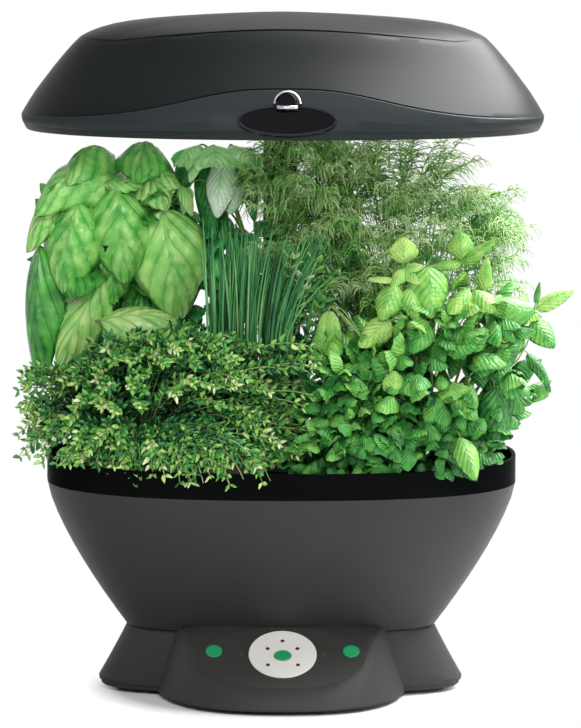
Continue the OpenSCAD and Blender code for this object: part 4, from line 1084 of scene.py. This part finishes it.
def thyme():
    rng = random.Random(14)
    leaves, stems = [blank_mesh() for _ in range(3)], blank_mesh()
    templates = leaf_templates(4, 24, grid=(2, 3), thick=60)
    for k in range(THYME_COUNT + len(THYME_SPRIGS)):
        stem = bow(*thyme_sprig(rng, k), SPRIG_STEPS)
        tube(stems, stem, taper(0.6, 0.35, SPRIG_STEPS), rng.uniform(0.3, 1.0), 4)
        young = rng.gauss(0, 0.12)
        for j in range(5, SPRIG_STEPS + 1):
            ahead = (stem[j] - stem[j - 1]).normalized()
            spin = rng.uniform(0, math.pi)
            aside, _, up = axes(ahead, (0.1, 0.2, 1))
            for leg in (0, math.pi) if j < SPRIG_TUFT else (0, 2.1, 4.2):
                out = aside * math.cos(spin + leg) + up * math.sin(spin + leg)
                size = 1.1 if j < SPRIG_TUFT else 0.8 if k < THYME_COUNT else 1.5
                length = rng.uniform(5.4, 8.6) * size
                if at_rim(stem[j]):
                    continue
                # Painted shade: leaves darken towards the root of the sprig, deep in the crown
                tone = 0.6 * (j / SPRIG_STEPS) ** 1.8 + young + rng.gauss(0, 0.14)
                copy_in(leaves[k % 3], rng.choice(templates), stem[j], out + ahead * 0.7, ahead + up * 0.5,
                        length, length * rng.uniform(0.42, 0.6), tone)
    for k, part in enumerate(leaves):
        finish_plant(part, f"thyme_leaves_{k + 1}", "thyme_leaf", "thyme")
    finish_plant(stems, "thyme_stems", "thyme_leaf", "thyme", "stem")


# ---- Chives ----

# Number of blades and the height of their middle
CHIVE_COUNT, CHIVE_MID = 150, 279
# Ends and tones of the stout blades at the right
CHIVE_STALKS = [((36, -58, 312), 0.2), ((26, -60, 318), 0.35), ((4, -54, 330), 0.1), ((44, -62, 296), 0.25)]


def chives():
    rng = random.Random(15)
    blades = blank_mesh()
    for _ in range(CHIVE_COUNT):
        share = rng.uniform(0, 1)
        mid_x = mix(-58, 6, share)
        lean = mix(-4, 30, share ** 2) + rng.gauss(0, 4)
        tall = rng.uniform(338, 372) - 14 * share
        y = -48 + rng.gauss(0, 9)
        root = Vector((mix(-10, 10, share), -48 + rng.gauss(0, 6), STEM_FOOT))
        lower = bow(root, (mid_x * 0.9, y, 220), (mid_x, y, CHIVE_MID), 8)
        tip = mid_x + lean, y + rng.gauss(0, 4), tall
        upper = bow(lower[-1], (mid_x + lean * 0.2, y, mix(CHIVE_MID, tall, 0.5)), tip, 8)
        thick = rng.uniform(0.6, 1.05)
        radii = [thick * (1 - (step / 16) ** 3) + 0.22 for step in range(17)]
        tube(blades, lower + upper[1:], radii, rng.uniform(0.05, 0.62), 6)
    for end, tone in CHIVE_STALKS:
        points = bow((6, -50, STEM_FOOT), (8, -52, 250), end, 14)
        tube(blades, points, [2.4 * (1 - (step / 14) ** 4) + 0.3 for step in range(15)], tone, 6)
    finish_plant(blades, "chive_blades", "chive_leaf", "chives")


# ---- Dill ----

# Extra lobes of the crown: middle, reach and how near they are to its outside; that nearness only sets
# their fronds' tone, painted light and shade
DILL_LOBES = [
    [(13, 34, 362), (24, 24, 54), 0.8], [(52, 36, 318), (40, 30, 46), 0.25],
    [(13, 34, 362), (24, 24, 54), 0.7], [(52, 36, 318), (40, 30, 46), 0.2],
    [(28, 30, 272), (28, 20, 40), 0.1], [(10, 36, 394), (20, 20, 20), 0.6],
]
DILL_MIDDLE, DILL_REACH = (80, 42, 352), (72, 38, 62)
DILL_CROWN, DILL_IN_LOBES, DILL_RIGHT_EDGE = 330, 230, 26


def frond_templates(count, seed):
    """Feathery dill fronds, one metre long: threads droop from both sides of a stalk."""
    rng = random.Random(seed)
    made = []
    for _ in range(count):
        bm = blank_mesh()
        stalk = bow((0, 0, 0), (rng.uniform(-60, 60), 520, 60), (rng.uniform(-120, 120), 980, -120), 6)
        tube(bm, stalk, taper(16, 8, 6), 0.05, 3)
        for j in range(1, 7):
            for leg in (-1, -1, 1, 1):
                way = Vector((leg * rng.uniform(0.3, 1), rng.uniform(-0.1, 1), rng.uniform(0, 0.7)))
                way.normalize()
                reach = rng.uniform(320, 620) * (1.1 - 0.08 * j)
                elbow = stalk[j] + way * reach * 0.8
                end = elbow + Vector((0, 0, -reach * rng.uniform(0.5, 1.15)))
                tube(bm, bow(stalk[j], elbow, end, 3), [11, 11, 9, 5], rng.uniform(0, 0.35), 3)
        made.append(as_template(bm))
    return made


def dill():
    rng = random.Random(16)
    fronds, stems = [blank_mesh() for _ in range(3)], blank_mesh()
    templates = frond_templates(6, 26)
    places = []
    for _ in range(DILL_CROWN):
        way = any_way(rng)
        share = rng.uniform(0.1, 1) ** 0.45
        at = Vector([m + w * r * share for m, w, r in zip(DILL_MIDDLE, way, DILL_REACH)])
        places.append((at, way, share))
    for k in range(DILL_IN_LOBES):
        way = any_way(rng)
        heart, size, share = DILL_LOBES[k % len(DILL_LOBES)]
        places.append((Vector([m + w * r for m, w, r in zip(heart, way, size)]), way, share))
    # The top of the crown falls away to the right
    places = [place for place in places if place[0].x * 0.55 + place[0].z < 456]
    for _ in range(DILL_RIGHT_EDGE):
        at = Vector((rng.uniform(138, 162), rng.uniform(10, 50), rng.uniform(308, 360)))
        places.append((at, Vector((0.7, -0.2, 0.1)), 0.9))
    for k, (at, way, share) in enumerate(places):
        along = (way * 0.9 + Vector((0.1, -0.2, 0.35)) + any_way(rng) * 0.5).normalized()
        # Painted light and shade: fronds near the crown's outside, top and front get lighter tones
        tone = 0.16 + 0.6 * share * (0.7 + 0.3 * way.z) - 0.16 * way.y + rng.gauss(0, 0.14)
        length = rng.uniform(29, 43)
        copy_in(fronds[k % 3], rng.choice(templates), at, along, (0, 0, 1), length, length, tone)
    for at, _, _ in places[::6]:
        root = Vector((105 + rng.gauss(0, 5), 38 + rng.gauss(0, 5), STEM_FOOT))
        over = Vector((mix(root.x, at.x, 0.4), mix(root.y, at.y, 0.4), mix(STEM_FOOT, at.z, 0.7)))
        tube(stems, bow(root, over, at, 10), taper(1.1, 0.4, 10), rng.uniform(0.2, 0.6), 5)
    for k, part in enumerate(fronds):
        finish_plant(part, f"dill_fronds_{k + 1}", "dill_leaf", "dill")
    finish_plant(stems, "dill_stems", "dill_leaf", "dill", "stem")


# ---- Other frame nodes ----

SOFT_NODES = [
    "base_plate", "rubber_feet", "base_screws", "power_inlet", "control_board", "tact_switches",
    "console_overlay", "dial_face", "console_lights", "select_button", "left_button", "right_button",
    "bowl", "grow_deck", "fill_lid", "fill_lid_pin", "pump_body", "pump_cover", "pump_shaft",
    "pump_impeller", "water_tube", "drip_manifold", "pod_labels", "mast_outer", "mast_collar", "mast_inner",
    "mast_slides", "hood_bracket", "hood_screws", "reflector", "ballast", "socket_left", "socket_right",
    "bulb_left", "bulb_right",
] + [f"grow_basket_{i}" for i in range(1, 7)] + [f"grow_sponge_{i}" for i in range(1, 7)]


make_camera()
make_stage()
make_softbox("key_top_right", (960, 330, 1560), (60, 0, 430), (1300, 1200), 72)
make_softbox("hood_sheen", (800, 290, 1560), (40, 0, 430), (1400, 1200), 82, sheen=True)
make_softbox("right", (1600, -1300, 700), (0, 0, 250), (600, 1000), 7.5)
make_softbox("front", (-100, -2300, 1600), (0, 0, 300), (1500, 900), 34)
hood_cover()
hood_rim()
foot_cover()
for node in SOFT_NODES:
    soft_copy(node)
lead = soft_copy("lamp_lead", edge_mm=None)
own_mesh(lead)
soft_copy("badge_plate", moved=BADGE_MOVE)
soft_copy("badge_rim", moved=BADGE_MOVE)
soft_copy("badge_dome", moved=DOME_MOVE)
dome_trim()
basil()
broad_herb()
mint()
thyme()
chives()
dill()
